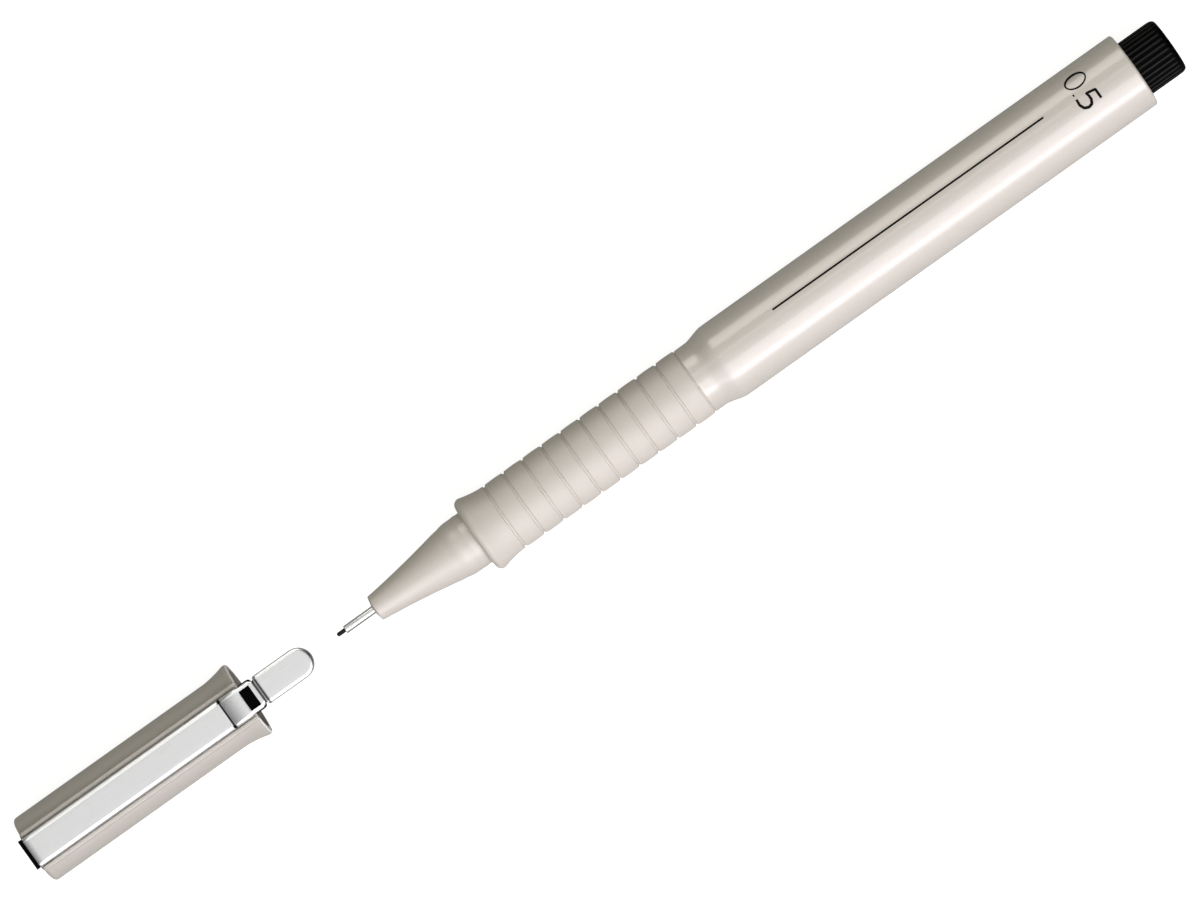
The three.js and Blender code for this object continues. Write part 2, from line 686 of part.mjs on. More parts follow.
// Outside of the pressed strip, with its long edges rolled down
function clipOutside() {
  const crease = (middle) => evenly(middle - FOLD_WIDTH / 2, middle + FOLD_WIDTH / 2, 2);
  const stations = inOrder([
    ...evenly(CLIP_RUN, CLIP_RUN + ROOT_LENGTH, ROLL_STEPS),
    stepAt,
    ...evenly(stepAt + STEP_LENGTH, rampEnd, CURVE_STEPS),
    ...evenly(pinchAt - PINCH_BEFORE, pinchAt, CURVE_STEPS).slice(0, -1),
    ...crease(pinchAt),
    ...crease(foldAt),
    tongueMiddle,
    tipCentre,
    ...tipStations(tongueHalf),
  ]);
  return lofted(stations.map((x) => {
    const top = clipTop(x);
    const foot = x < foldAt ? stripFoot + clipRise(x) : stripTop + bridgeRise - TONGUE_DEPTH;
    const edge = edgePlaces.map((inwards) => edgePoint(x, inwards));
    const left = edge.map(([y, drop]) => new THREE.Vector3(x, y, top - drop));
    const right = edge.map(([y, drop]) => new THREE.Vector3(x, -y, top - drop)).reverse();
    const half = edge[0][0];
    return [new THREE.Vector3(x, half, foot), ...left, ...right, new THREE.Vector3(x, -half, foot)];
  }));
}

// Hollow under the strip, open below and at the root
function clipHollow() {
  const stations = inOrder([
    -CLIP_RUN,
    stepAt,
    ...evenly(stepAt, rampEnd, CURVE_STEPS).slice(1),
    ...evenly(pinchAt - PINCH_BEFORE, pinchAt, CURVE_STEPS),
    foldAt,
    tongueMiddle,
    tipCentre,
    ...tipStations(tongueHalf - SHEET),
  ]);
  const low = railTop - LEG_DEPTH;
  return lofted(stations.map((x) => {
    const half = clipHalfWidth(x, SHEET);
    const top = stripTop + clipRise(x) - SHEET;
    return [
      new THREE.Vector3(x, half, low),
      new THREE.Vector3(x, half, top),
      new THREE.Vector3(x, -half, top),
      new THREE.Vector3(x, -half, low),
    ];
  }));
}

// Clip: pressed channel with a window over the bar, notches beside the step, flanges cut away over
// the bar's foot, and two legs that stand in the cap
function clip() {
  const sheetUnder = stripTop + bridgeRise - SHEET;
  const windowStart = CAP_LENGTH + WINDOW_PAST_MOUTH;
  const windowEnd = windowStart + WINDOW_LENGTH;
  const windowHalf = WINDOW_WIDTH / 2;
  const above = stripTop + 2 * bridgeRise;
  const footRoom = box(CAP_LENGTH, barEnd + BAR_FOOT_START, -CLIP_WIDTH, CLIP_WIDTH, capR, sheetUnder);
  let sheet = solidOf(clipOutside()).subtract(solidOf(clipHollow()));
  sheet = sheet.subtract(solidOf(box(windowStart, windowEnd, -windowHalf, windowHalf, railTop, above)));
  sheet = sheet.subtract(solidOf(footRoom));
  for (const side of [-1, 1]) {
    const notch = box(
      stepAt - NOTCH_LENGTH / 2, stepAt + NOTCH_LENGTH / 2,
      -NOTCH_WIDTH, NOTCH_WIDTH, stripTop - NOTCH_DROP, above,
    );
    notch.translate(0, side * clipHalf, 0);
    sheet = sheet.subtract(solidOf(notch));
    sheet = sheet.add(solidOf(clipLeg(side, 0)));
  }
  return geometryOf(sheet);
}

// Materials
function finish(color, roughness, metalness = 0) {
  return new THREE.MeshStandardMaterial({ color, roughness, metalness });
}
const pearl = finish(0xcdc5bd, 0.25, 0.25);
const mattePearl = finish(0xcbc4bc, 0.6, 0.1);
const blackPlastic = finish(0x101010, 0.35);
const inkBlack = finish(0x080808, 0.8);
const steel = finish(0xd4d5d3, 0.22, 1);
const natural = finish(0xe6e4de, 0.5);
const film = finish(0xdfe3e4, 0.2);
const fibre = finish(0x1c1c1f, 0.95);

function piece(name, geometry, material) {
  const mesh = new THREE.Mesh(geometry, material);
  mesh.name = name;
  return mesh;
}

// Assembly: the pen, the cap in line with it, and the clip on the cap
const pen = new THREE.Group();
pen.add(
  piece('nib', nib(), inkBlack),
  piece('needle_tube', needleTube(), steel),
  piece('nib_holder', nibHolder(), natural),
  piece('nose_cone', noseCone(), pearl),
  piece('grip_sleeve', gripSleeve(), mattePearl),
  piece('barrel', barrel(), pearl),
  piece('rear_plug', rearPlug(), blackPlastic),
  piece('ink_reservoir', inkReservoir(), fibre),
  piece('reservoir_film', reservoirFilm(), film),
  piece('feed_wick', feedWick(), fibre),
);

const cap = new THREE.Group();
cap.add(
  piece('cap_shell', capShell(), mattePearl),
  piece('cap_inner_seal', capInnerSeal(), natural),
  piece('colour_bar', colourBar(), blackPlastic),
  piece('clip', clip(), steel),
);

const overallLength = BAR_HEAD + CAP_LENGTH + CAP_GAP + plugEnd - gripFront;
const axisHeight = barrelR * Math.cos(Math.PI / ROUND_SIDES);
cap.position.set(BAR_HEAD - overallLength / 2, 0, axisHeight);
pen.position.set(overallLength / 2 - plugEnd, 0, axisHeight);

const drawingPen = new THREE.Group();
drawingPen.add(pen, cap);

export default drawingPen;
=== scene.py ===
# Drawing pen on a white table, seen from above, with its cap pulled off and laid in front of the nib.
# Sizes are in millimetres, unless a comment says metres, and MM turns them into the frame's metres. Each
# piece's x runs from the nib's tip or from the cap's closed end, and its radius or height is measured
# from the pen's axis.
import math

import bmesh
import bpy
from mathutils import Matrix, Vector


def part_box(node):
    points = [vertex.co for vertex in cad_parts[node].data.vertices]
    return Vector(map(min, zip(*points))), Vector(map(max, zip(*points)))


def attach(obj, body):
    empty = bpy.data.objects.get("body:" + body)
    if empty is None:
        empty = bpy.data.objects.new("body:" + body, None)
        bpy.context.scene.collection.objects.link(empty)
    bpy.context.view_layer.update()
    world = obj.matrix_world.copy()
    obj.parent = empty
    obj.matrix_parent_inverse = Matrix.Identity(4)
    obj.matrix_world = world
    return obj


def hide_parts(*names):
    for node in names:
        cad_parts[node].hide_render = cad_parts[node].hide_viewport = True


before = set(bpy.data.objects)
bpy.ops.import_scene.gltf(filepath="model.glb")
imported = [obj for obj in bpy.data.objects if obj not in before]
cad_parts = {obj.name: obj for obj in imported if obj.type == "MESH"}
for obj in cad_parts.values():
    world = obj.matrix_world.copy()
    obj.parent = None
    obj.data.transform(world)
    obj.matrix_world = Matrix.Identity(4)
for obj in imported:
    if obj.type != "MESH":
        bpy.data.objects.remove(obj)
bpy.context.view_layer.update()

MM = 0.001


# Ink reservoir, film and wick
# Bonded polyester fibre soaked with black ink, in a clear film sleeve, and a thicker fibre rod that
# carries the ink forward. They sit inside the barrel and nose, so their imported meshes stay.
INK_DARK = "#0b0b0d"
INK_LIGHT = "#2a2a2e"
FILM_CLEAR = "#eef1f1"
NOISE_LOW = 0.3
NOISE_HIGH = 0.7


def colour(code):
    """Linear RGBA of an sRGB hex colour."""
    parts = [int(code[i:i + 2], 16) / 255 for i in (1, 3, 5)]
    return [p / 12.92 if p <= 0.04045 else ((p + 0.055) / 1.055) ** 2.4 for p in parts] + [1.0]


def add_node(tree, kind, inputs=None, **settings):
    """Adds a node. Inputs are plain values, sockets that feed them, or nodes, for their first output."""
    node = tree.nodes.new(kind)
    for name, value in settings.items():
        setattr(node, name, value)
    for name, value in (inputs or {}).items():
        if isinstance(value, bpy.types.Node):
            value = value.outputs[0]
        if isinstance(value, bpy.types.NodeSocket):
            tree.links.new(value, node.inputs[name])
        else:
            node.inputs[name].default_value = value
    return node


def new_material(name, **values):
    """Material with one Principled shader, its values set by socket name with _ for a space."""
    made = bpy.data.materials.new(name)
    made.use_nodes = True
    made.node_tree.nodes.clear()
    inputs = {key.replace("_", " "): value for key, value in values.items()}
    shader = add_node(made.node_tree, "ShaderNodeBsdfPrincipled", inputs)
    add_node(made.node_tree, "ShaderNodeOutputMaterial", {"Surface": shader})
    return made, made.node_tree, shader


def grained(tree, shader, size, shades=None, roughness=None, bumps=None, detail=2.0, spread=(0.35, 0.65)):
    """Gives a material a grain of a size in millimetres along X, Y and Z. It runs between two shades
    and two values of roughness, and raises bumps of a height in millimetres."""
    place = add_node(tree, "ShaderNodeTexCoord")
    stretched = add_node(tree, "ShaderNodeMapping", {
        "Vector": place.outputs["Object"], "Scale": [1 / (s * MM) for s in size],
    })
    noise = add_node(tree, "ShaderNodeTexNoise", {"Vector": stretched, "Scale": 1.0, "Detail": detail})
    if shades:
        ramp = add_node(tree, "ShaderNodeValToRGB", {"Fac": noise})
        for stop, position, shade in zip(ramp.color_ramp.elements, spread, shades):
            stop.position = position
            stop.color = colour(shade)
        tree.links.new(ramp.outputs["Color"], shader.inputs["Base Color"])
    if roughness:
        level = add_node(tree, "ShaderNodeMapRange", {
            "Value": noise, "From Min": NOISE_LOW, "From Max": NOISE_HIGH,
            "To Min": roughness[0], "To Max": roughness[1],
        })
        tree.links.new(level.outputs["Result"], shader.inputs["Roughness"])
    if bumps:
        bump = add_node(tree, "ShaderNodeBump", {"Height": noise, "Distance": bumps * MM})
        tree.links.new(bump.outputs["Normal"], shader.inputs["Normal"])


# Inked fibre: matte and nearly black, with streaks along the rod, coarser than the real 0.02 mm fibres
inked_fibre, tree, shader = new_material("inked_fibre", Roughness=0.92, IOR=1.5)
grained(tree, shader, (1.6, 0.08, 0.08), (INK_DARK, INK_LIGHT), bumps=0.03)

# Polyester film: clear, thin and glossy, with faint drawn lines
clear_film, tree, shader = new_material(
    "polyester_film", Base_Color=colour(FILM_CLEAR), Transmission_Weight=1.0, IOR=1.57,
)
grained(tree, shader, (3.0, 0.3, 0.3), roughness=(0.08, 0.2))


def dress(name, material):
    """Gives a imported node, kept as it is, its material."""
    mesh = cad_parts[name].data
    mesh.materials.clear()
    mesh.materials.append(material)


dress("ink_reservoir", inked_fibre)
dress("feed_wick", inked_fibre)
dress("reservoir_film", clear_film)


# Nib holder
# Seat of natural polypropylene, moulded and pressed into the nose. A wide bore grips the steel tube,
# and a narrow one lets only the nib through.
NATURAL_WARM = "#dedad0"
NATURAL_COOL = "#e9e7e1"

# Natural polypropylene: milky and waxy, so light spreads a little under its skin
natural_plastic, tree, shader = new_material(
    "natural_polypropylene", Roughness=0.42, IOR=1.49,
    Subsurface_Weight=0.25, Subsurface_Scale=0.4 * MM, Subsurface_Radius=[1.0, 0.9, 0.8],
)
grained(tree, shader, (0.9, 0.9, 0.9), (NATURAL_WARM, NATURAL_COOL))
dress("nib_holder", natural_plastic)


# Nib
# Rod of sintered fibre, cut flat and rounded by grinding at the tip. It runs back through the tube and
# the holder to the wick.
NIB_D = 0.55
NIB_FLAT_SHARE = 0.45
NIB_FLAT_RISE = 0.01
NIB_ROUNDING = 0.32
NIB_CORNER = 0.05
NIB_BLACK = "#060606"
NIB_GREY = "#1d1d1e"
SIDES = 128
FINE_SIDES = 48
SHARP = 32

axis = (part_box("barrel")[0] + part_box("barrel")[1]) / 2
pen_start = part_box("nib")[0].x


def span(name, start):
    """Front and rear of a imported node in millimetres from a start."""
    low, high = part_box(name)
    return (low.x - start) / MM, (high.x - start) / MM


def curved(start, control, end, steps=8):
    """Points of a quadratic curve, without its start."""
    points = []
    for i in range(1, steps + 1):
        t = i / steps
        points.append(tuple(
            (1 - t) ** 2 * a + 2 * t * (1 - t) * b + t ** 2 * c for a, b, c in zip(start, control, end)
        ))
    return points


def vertex(bm, start, x, y, z, height=axis.z):
    """New vertex from millimetres: x from a start, and y and z from the pen's axis or one at a height."""
    return bm.verts.new((start + x * MM, axis.y + y * MM, height + z * MM))


def smoothed(mesh, sharp):
    """Smooth shading, broken where faces meet at more than an angle in degrees."""
    mesh.shade_smooth()
    mesh.set_sharp_from_angle(angle=math.radians(sharp))
    return mesh


def finished(name, bm, material, sharp=SHARP):
    """Piece from faces, which are turned outwards, with its sharp edges kept."""
    bmesh.ops.recalc_face_normals(bm, faces=bm.faces)
    mesh = bpy.data.meshes.new(name)
    bm.to_mesh(mesh)
    bm.free()
    mesh.materials.append(material)
    piece = bpy.data.objects.new(name, smoothed(mesh, sharp))
    bpy.context.collection.objects.link(piece)
    return piece


def ring_skin(bm, rings, closed=False):
    """Faces between neighbouring rings of vertices. A ring of one vertex closes on the axis."""
    pairs = list(zip(rings, rings[1:] + rings[:1])) if closed else list(zip(rings, rings[1:]))
    for a, b in pairs:
        count = max(len(a), len(b))
        for i in range(count):
            j = (i + 1) % count
            corners = [a[i % len(a)], a[j % len(a)], b[j % len(b)], b[i % len(b)]]
            unique = list(dict.fromkeys(corners))
            if len(unique) > 2:
                bm.faces.new(unique)


def turned(bm, outline, start, sides=SIDES, closed=False):
    """Skin turned about the pen's axis from an outline of (x, radius) in millimetres."""
    rings = []
    for x, radius in outline:
        angles = [2 * math.pi * i / sides for i in range(sides if radius > 0 else 1)]
        rings.append([vertex(bm, start, x, radius * math.sin(a), radius * math.cos(a)) for a in angles])
    ring_skin(bm, rings, closed)
    return rings


def turned_piece(name, outline, start, material, sides=SIDES, closed=False):
    """Piece turned from one outline, which is closed itself or ends on the axis."""
    bm = bmesh.new()
    turned(bm, outline, start, sides, closed)
    return finished(name, bm, material)


# Sintered fibre full of ink: black and matte, with a fine open grain
nib_fibre, tree, shader = new_material("sintered_nib_fibre", IOR=1.5, Roughness=0.6, Specular_IOR_Level=0.2)
grained(tree, shader, (0.25, 0.06, 0.06), (NIB_BLACK, NIB_GREY), bumps=0.02)

nib_front, nib_rear = span("nib", pen_start)
nib_r = NIB_D / 2
nib_flat = (nib_front + NIB_FLAT_RISE, nib_r * NIB_FLAT_SHARE)
nib_outline = [
    (nib_front, 0), nib_flat,
    *curved(nib_flat, (nib_front + NIB_CORNER, nib_r), (nib_front + NIB_ROUNDING, nib_r)),
    (nib_rear, nib_r), (nib_rear, 0),
]
nib = turned_piece("fibre_nib", nib_outline, pen_start, nib_fibre, FINE_SIDES)
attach(nib, "pen")
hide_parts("nib")


# Needle tube
# Length of drawn stainless steel tube with a turned-in front edge. It guards the nib along a ruler and
# is pressed into the holder.
TUBE_D = 1.05
TUBE_EDGE = 0.12
TUBE_MOUTH_DEPTH = 0.02
TUBE_MOUTH_FLARE = 0.05
NIB_ROOM = 0.025
STEEL = "#c9c9c6"
STEEL_EDGE_SHADE = "#2c2c2b"

# Drawn stainless steel: bright, with drawing lines along the tube, coarser than real so that they show.
# Its edge tint is darker than real steel's, a painted shade that darkens its reflection towards the outline.
tube_steel, tree, shader = new_material(
    "drawn_stainless_steel", Base_Color=colour(STEEL), Metallic=1.0, Specular_Tint=colour(STEEL_EDGE_SHADE),
)
grained(tree, shader, (2.5, 0.05, 0.05), roughness=(0.12, 0.24), bumps=0.002)

tube_front, tube_rear = span("needle_tube", pen_start)
tube_r = TUBE_D / 2
tube_bore_r = nib_r + NIB_ROOM
tube_face = (tube_front, tube_r - TUBE_EDGE)
tube_outline = [
    (tube_front + TUBE_MOUTH_DEPTH, tube_bore_r), (tube_front, tube_bore_r + TUBE_MOUTH_FLARE), tube_face,
    *curved(tube_face, (tube_front, tube_r), (tube_front + TUBE_EDGE, tube_r), 5),
    (tube_rear, tube_r), (tube_rear, tube_bore_r),
]
tube = turned_piece("steel_needle_tube", tube_outline, pen_start, tube_steel, FINE_SIDES, closed=True)
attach(tube, "pen")
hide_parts("needle_tube")


# Nose cone
# Injection-moulded nose of pearl-pigmented ABS: a long hollow cone, a small land, a shoulder, and the
# snap bead that holds the cap. Its tail is pressed into the barrel's neck.
NOSE_FRONT_D = 3.56
NOSE_BEVEL = 0.36
NOSE_RIM = (0.12, 0.14)
NOSE_RIM_CORNER = 0.03
HOLE_CHAMFER = (0.06, 0.12)
LAND_D = 6.98
LAND_AT = 11.56
LAND_LENGTH = 0.5
NOSE_D = 7.52
NOSE_REAR_AT = 13.45
BEAD_AT = 14.75
BEAD_LENGTH = 0.6
BEAD_RISE = 0.04
BEAD_SLOPE = 0.15
TAIL_D = 6.55
TUBE_HOLE_D = 1.21
CHAMBER_D = 4.65
HOLDER_BORE_D = 3.1
CONE_HOLLOW = (0.48, 0.16)
PEARL_DARK = "#cac3ba"
PEARL_LIGHT = "#cfc8bf"


def pearl_abs(name, shades, skin, skin_roughness, rough):
    """ABS with silver-beige flakes under a clear skin, so it shines broadly and mirrors in its skin.
    The flakes are drawn about three times as large as real ones, so that they show."""
    made, tree, shader = new_material(
        name, Metallic=0.12, IOR=1.54, Specular_IOR_Level=0.3,
        Coat_Weight=skin, Coat_Roughness=skin_roughness, Coat_IOR=1.54,
    )
    flakes = (0.3, 0.16, 0.16)
    grained(tree, shader, flakes, shades, (rough, rough + 0.1), detail=3.0, spread=(0.3, 0.7))
    return made


# Satin from handling, because the cap slides over it
nose_plastic = pearl_abs("satin_nose_abs", (PEARL_DARK, PEARL_LIGHT), 0.35, 0.2, 0.4)

nose_front, nose_rear = span("nose_cone", pen_start)
grip_front, grip_rear = span("grip_sleeve", pen_start)
neck_front = span("barrel", pen_start)[0]
holder_front, holder_rear = span("nib_holder", pen_start)
front_r, land_r, nose_r = NOSE_FRONT_D / 2, LAND_D / 2, NOSE_D / 2
hole_r, tail_r, chamber_r, holder_bore_r = TUBE_HOLE_D / 2, TAIL_D / 2, CHAMBER_D / 2, HOLDER_BORE_D / 2
cone_start = (nose_front + NOSE_BEVEL, front_r)
cone_control = (nose_front + LAND_AT * CONE_HOLLOW[0], front_r + (LAND_D - NOSE_FRONT_D) * CONE_HOLLOW[1])
nose_rim = (cone_start[0] - NOSE_RIM[0], front_r - NOSE_RIM[1])
land_start = (nose_front + LAND_AT, land_r)
land_end = (nose_front + LAND_AT + LAND_LENGTH, land_r + BEAD_RISE)
shoulder_end = (nose_front + NOSE_REAR_AT, nose_r)
bead_front = nose_front + BEAD_AT - BEAD_LENGTH / 2
bead_rear = bead_front + BEAD_LENGTH
nose_outline = [
    (nose_front, hole_r), (nose_front + HOLE_CHAMFER[0], hole_r + HOLE_CHAMFER[1]), nose_rim,
    *curved(nose_rim, (cone_start[0] - NOSE_RIM_CORNER, front_r), cone_start, 4),
    *curved(cone_start, cone_control, land_start, 40),
    land_end,
    *curved(land_end, (shoulder_end[0] - LAND_LENGTH, nose_r), shoulder_end, 12),
    (bead_front, nose_r), (bead_front + BEAD_SLOPE, nose_r + BEAD_RISE),
    (bead_rear - BEAD_SLOPE, nose_r + BEAD_RISE), (bead_rear, nose_r),
    (neck_front, nose_r), (neck_front, tail_r), (nose_rear, tail_r), (nose_rear, chamber_r),
    (holder_rear, chamber_r), (holder_rear, holder_bore_r),
    (holder_front, holder_bore_r), (holder_front, hole_r),
]
nose = turned_piece("moulded_nose_cone", nose_outline, pen_start, nose_plastic, closed=True)
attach(nose, "pen")
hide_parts("nose_cone")


# Barrel
# Injection-moulded tube of the same pearl ABS, polished by its mould. A neck under the grip, a waist
# and a shoulder lead to the straight body, which is open at the rear for the plug.
WAIST_D = 9.22
WAIST_LENGTH = 1.5
WAIST_EDGE = 0.1
SHOULDER_LENGTH = 3.1
SHOULDER_STEPS = 24
EDGE_RADIUS = 0.35
NECK_D = 8.1
NECK_BORE_D = 6.6
BODY_BORE_D = 7.16
CAD_SIDES = 40

# Polished, so lamps show sharply in its skin
pearl_plastic = pearl_abs("polished_barrel_abs", (PEARL_DARK, PEARL_LIGHT), 0.7, 0.045, 0.34)

barrel_rear = span("barrel", pen_start)[1]
barrel_r = (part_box("barrel")[1].z - axis.z) / MM / math.cos(math.pi / CAD_SIDES)
waist_r, neck_r, neck_bore_r, body_bore_r = WAIST_D / 2, NECK_D / 2, NECK_BORE_D / 2, BODY_BORE_D / 2
shoulder_front = grip_rear + WAIST_LENGTH
shoulder_rear = shoulder_front + SHOULDER_LENGTH
shoulder = []
for i in range(SHOULDER_STEPS + 1):
    share = i / SHOULDER_STEPS
    ease = share * share * (3 - 2 * share)
    shoulder.append((shoulder_front + share * SHOULDER_LENGTH, waist_r + (barrel_r - waist_r) * ease))
rear_edge = (barrel_rear - EDGE_RADIUS, barrel_r)
barrel_outline = [
    (neck_front, neck_bore_r), (neck_front, neck_r), (grip_rear, neck_r),
    (grip_rear, waist_r - WAIST_EDGE), (grip_rear + WAIST_EDGE, waist_r), *shoulder, rear_edge,
    *curved(rear_edge, (barrel_rear, barrel_r), (barrel_rear, barrel_r - EDGE_RADIUS), 6),
    (barrel_rear, body_bore_r), (shoulder_rear, body_bore_r), (shoulder_front, neck_bore_r),
]
barrel = turned_piece("moulded_barrel", barrel_outline, pen_start, pearl_plastic, closed=True)
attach(barrel, "pen")
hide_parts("barrel")


# Print on the barrel
# Thin black rule along the barrel and the pen's line width in plain figures across it, pad-printed.
# Each stroke is a line on the flat, given its width and then wrapped round the barrel by the tree.
INK_FILM = 0.012
STROKE = 0.36
KNOT_SPACING = 0.08
RULE_FROM_NIB = 68.0
RULE_LENGTH = 41.3
RULE_AROUND = 1.76
RULE_SHARE = 0.72
FIGURE_HEIGHT = 2.85
FIGURES_FROM_NIB = 113.75
FIGURES_AROUND = 4.4
NOUGHT_STEPS = 32
NOUGHT_HALF = (0.5, 0.36)
NOUGHT_SHARES = (0.62, 0.28, 0.2)
PRINT_BLACK = "#070707"
PRINT_THIN = "#1a1919"

# Pad-printing ink: black and dull, a little thinner in places
print_ink, tree, shader = new_material("pad_printing_ink", Roughness=0.5, IOR=1.5, Specular_IOR_Level=0.05)
grained(tree, shader, (0.15, 0.15, 0.15), (PRINT_BLACK, PRINT_THIN), spread=(0.45, 0.8))


def new_tree(name, sockets):
    """Geometry Nodes tree with named inputs. Returns it with the sockets of its sizes."""
    made = bpy.data.node_groups.new(name, "GeometryNodeTree")
    for label, kind in ({"Geometry": "Geometry"} | sockets | {"Finish": "Material"}).items():
        made.interface.new_socket(label, in_out="INPUT", socket_type="NodeSocket" + kind)
    made.interface.new_socket("Geometry", in_out="OUTPUT", socket_type="NodeSocketGeometry")
    return made, add_node(made, "NodeGroupInput").outputs


def end_tree(made, sizes, parts):
    """Joins a tree's parts, makes them real, welds them if it has a size for that, and coats them."""
    joined = add_node(made, "GeometryNodeJoinGeometry")
    for part in parts:
        made.links.new(part, joined.inputs["Geometry"])
    whole = add_node(made, "GeometryNodeRealizeInstances", {"Geometry": joined})
    if "Weld" in sizes:
        whole = add_node(made, "GeometryNodeMergeByDistance", {"Geometry": whole, "Distance": sizes["Weld"]})
    coated = add_node(made, "GeometryNodeSetMaterial", {"Geometry": whole, "Material": sizes["Finish"]})
    add_node(made, "NodeGroupOutput", {"Geometry": coated})


def plain_mesh(piece):
    """Mesh that a piece's modifiers make of it."""
    piece.update_tag()
    bpy.context.view_layer.update()
    return bpy.data.meshes.new_from_object(piece.evaluated_get(bpy.context.evaluated_depsgraph_get()))


def run_tree(name, source, made, material, values):
    """Piece that a tree makes of another one, which goes with its modifier."""
    modifier = source.modifiers.new(made.name, "NODES")
    modifier.node_group = made
    values["Finish"] = material
    for item in made.interface.items_tree:
        if item.in_out == "INPUT" and item.name in values:
            modifier[item.identifier] = values[item.name]
    bm = bmesh.new()
    bm.from_mesh(plain_mesh(source))
    bpy.data.objects.remove(source)
    return finished(name, bm, material)


wrap, sizes = new_tree("wrapped_print", {
    "Stroke width": "Float", "Ink film": "Float", "Knot spacing": "Float",
    "Barrel radius": "Float", "Axis height": "Float",
})
finely = add_node(wrap, "GeometryNodeResampleCurve", {
    "Curve": sizes["Geometry"], "Length": sizes["Knot spacing"],
}, mode="LENGTH")
brush = add_node(wrap, "GeometryNodeCurvePrimitiveQuadrilateral", {
    "Width": sizes["Stroke width"], "Height": sizes["Ink film"],
})
stroke = add_node(wrap, "GeometryNodeCurveToMesh", {
    "Curve": finely, "Profile Curve": brush, "Fill Caps": True,
    "Scale": add_node(wrap, "GeometryNodeInputRadius"),
})
flat = add_node(wrap, "ShaderNodeSeparateXYZ", {"Vector": add_node(wrap, "GeometryNodeInputPosition")})
turn = add_node(wrap, "ShaderNodeMath", {
    0: flat.outputs["Y"], 1: sizes["Barrel radius"],
}, operation="DIVIDE")
reach = add_node(wrap, "ShaderNodeMath", {0: sizes["Barrel radius"], 1: flat.outputs["Z"]})
side_share = add_node(wrap, "ShaderNodeMath", {0: turn}, operation="SINE")
lift_share = add_node(wrap, "ShaderNodeMath", {0: turn}, operation="COSINE")
side = add_node(wrap, "ShaderNodeMath", {0: reach, 1: side_share}, operation="MULTIPLY")
lift = add_node(wrap, "ShaderNodeMath", {
    0: reach, 1: lift_share, 2: sizes["Axis height"],
}, operation="MULTIPLY_ADD")
wrapped_place = add_node(wrap, "ShaderNodeCombineXYZ", {"X": flat.outputs["X"], "Y": side, "Z": lift})
wrapped = add_node(wrap, "GeometryNodeSetPosition", {"Geometry": stroke, "Position": wrapped_place})
end_tree(wrap, sizes, [wrapped.outputs["Geometry"]])

# Strokes in figure heights: along the barrel and across the reading direction, and their share of the
# stroke's width. The nought is thickest on its left side, and the five has a bar, a stem and a bowl.
nought = []
for i in range(NOUGHT_STEPS):
    a = 2 * math.pi * i / NOUGHT_STEPS
    width = NOUGHT_SHARES[0] + NOUGHT_SHARES[1] * math.cos(a) ** 2 + NOUGHT_SHARES[2] * math.cos(a)
    nought.append((NOUGHT_HALF[0] * (1 + math.sin(a)), NOUGHT_HALF[1] * (1 - math.cos(a)), width))
point = [(0.02, 0.92, 0.9), (0.09, 0.92, 0.9)]
five = [
    (0.99, 1.7, 0.95), (0.99, 1.24, 0.95), (0.56, 1.16, 0.9), (0.6, 1.3, 0.9), (0.6, 1.5, 1.0),
    (0.5, 1.68, 1.05), (0.32, 1.73, 1.05), (0.12, 1.64, 1.0), (0.03, 1.42, 1.0), (0.06, 1.14, 0.9),
]
rule_rear = RULE_FROM_NIB + RULE_LENGTH
rule = [(RULE_FROM_NIB, RULE_AROUND, RULE_SHARE), (rule_rear, RULE_AROUND, RULE_SHARE)]


def figure(points):
    """Points of a figure in millimetres on the flat, read towards -Y with its top towards +X."""
    return [
        (FIGURES_FROM_NIB + up * FIGURE_HEIGHT, FIGURES_AROUND - across * FIGURE_HEIGHT, width)
        for up, across, width in points
    ]


strokes = bpy.data.curves.new("print_strokes", "CURVE")
strokes.dimensions = "3D"
for points, cyclic in [(rule, False), (figure(nought), True), (figure(point), False), (figure(five), False)]:
    spline = strokes.splines.new("POLY")
    spline.points.add(len(points) - 1)
    spline.use_cyclic_u = cyclic
    for knot, (x, y, width) in zip(spline.points, points):
        knot.co = (pen_start + x * MM, y * MM, 0, 1)
        knot.radius = width
stroke_lines = bpy.data.objects.new("print_strokes", strokes)
bpy.context.collection.objects.link(stroke_lines)
barrel_print = run_tree("barrel_print", stroke_lines, wrap, print_ink, {
    "Stroke width": STROKE * MM, "Ink film": 2 * INK_FILM * MM, "Knot spacing": KNOT_SPACING * MM,
    "Barrel radius": barrel_r * MM, "Axis height": axis.z,
})
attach(barrel_print, "pen")


# Grip sleeve
# Moulded sleeve with an eroded, matte surface, slid over the barrel's neck: a flared collar in front,
# then ten slightly crowned ribs between fine grooves. The tree sets one rib ring ten times in a row.
GRIP_D = 9.44
RIB_COUNT = 10
RIB_PITCH = 2.917
CROWN = 0.04
GROOVE_WIDTH = 0.5
GROOVE_DEPTH = 0.25
# Foot, upper wall and rim's corner of a groove, as shares of its half width, and the rim's rounding
GROOVE_FOOT = 0.45
GROOVE_WALL = 0.68
GROOVE_RIM = 0.76
RIM_ROUNDING = 0.05
COLLAR_LENGTH = 4.52
COLLAR_CREST = 0.95
JOINT_WIDTH = 0.24
JOINT_DEPTH = 0.4
LIP_ROOM = 0.11
GRIP_WALL = 0.37
WELD = 0.002
MATTE_DARK = "#c9c2b9"
MATTE_LIGHT = "#d0c9c0"

# Pearl ABS from a spark-eroded mould: the same flakes under a matte grain, so no sharp mirror. The
# grain is drawn a little coarser than real.
matte_plastic, tree, shader = new_material("eroded_pearl_abs", Metallic=0.06, IOR=1.52)
grained(tree, shader, (0.14, 0.14, 0.14), (MATTE_DARK, MATTE_LIGHT), (0.5, 0.62), 0.012, 3.0, (0.3, 0.7))

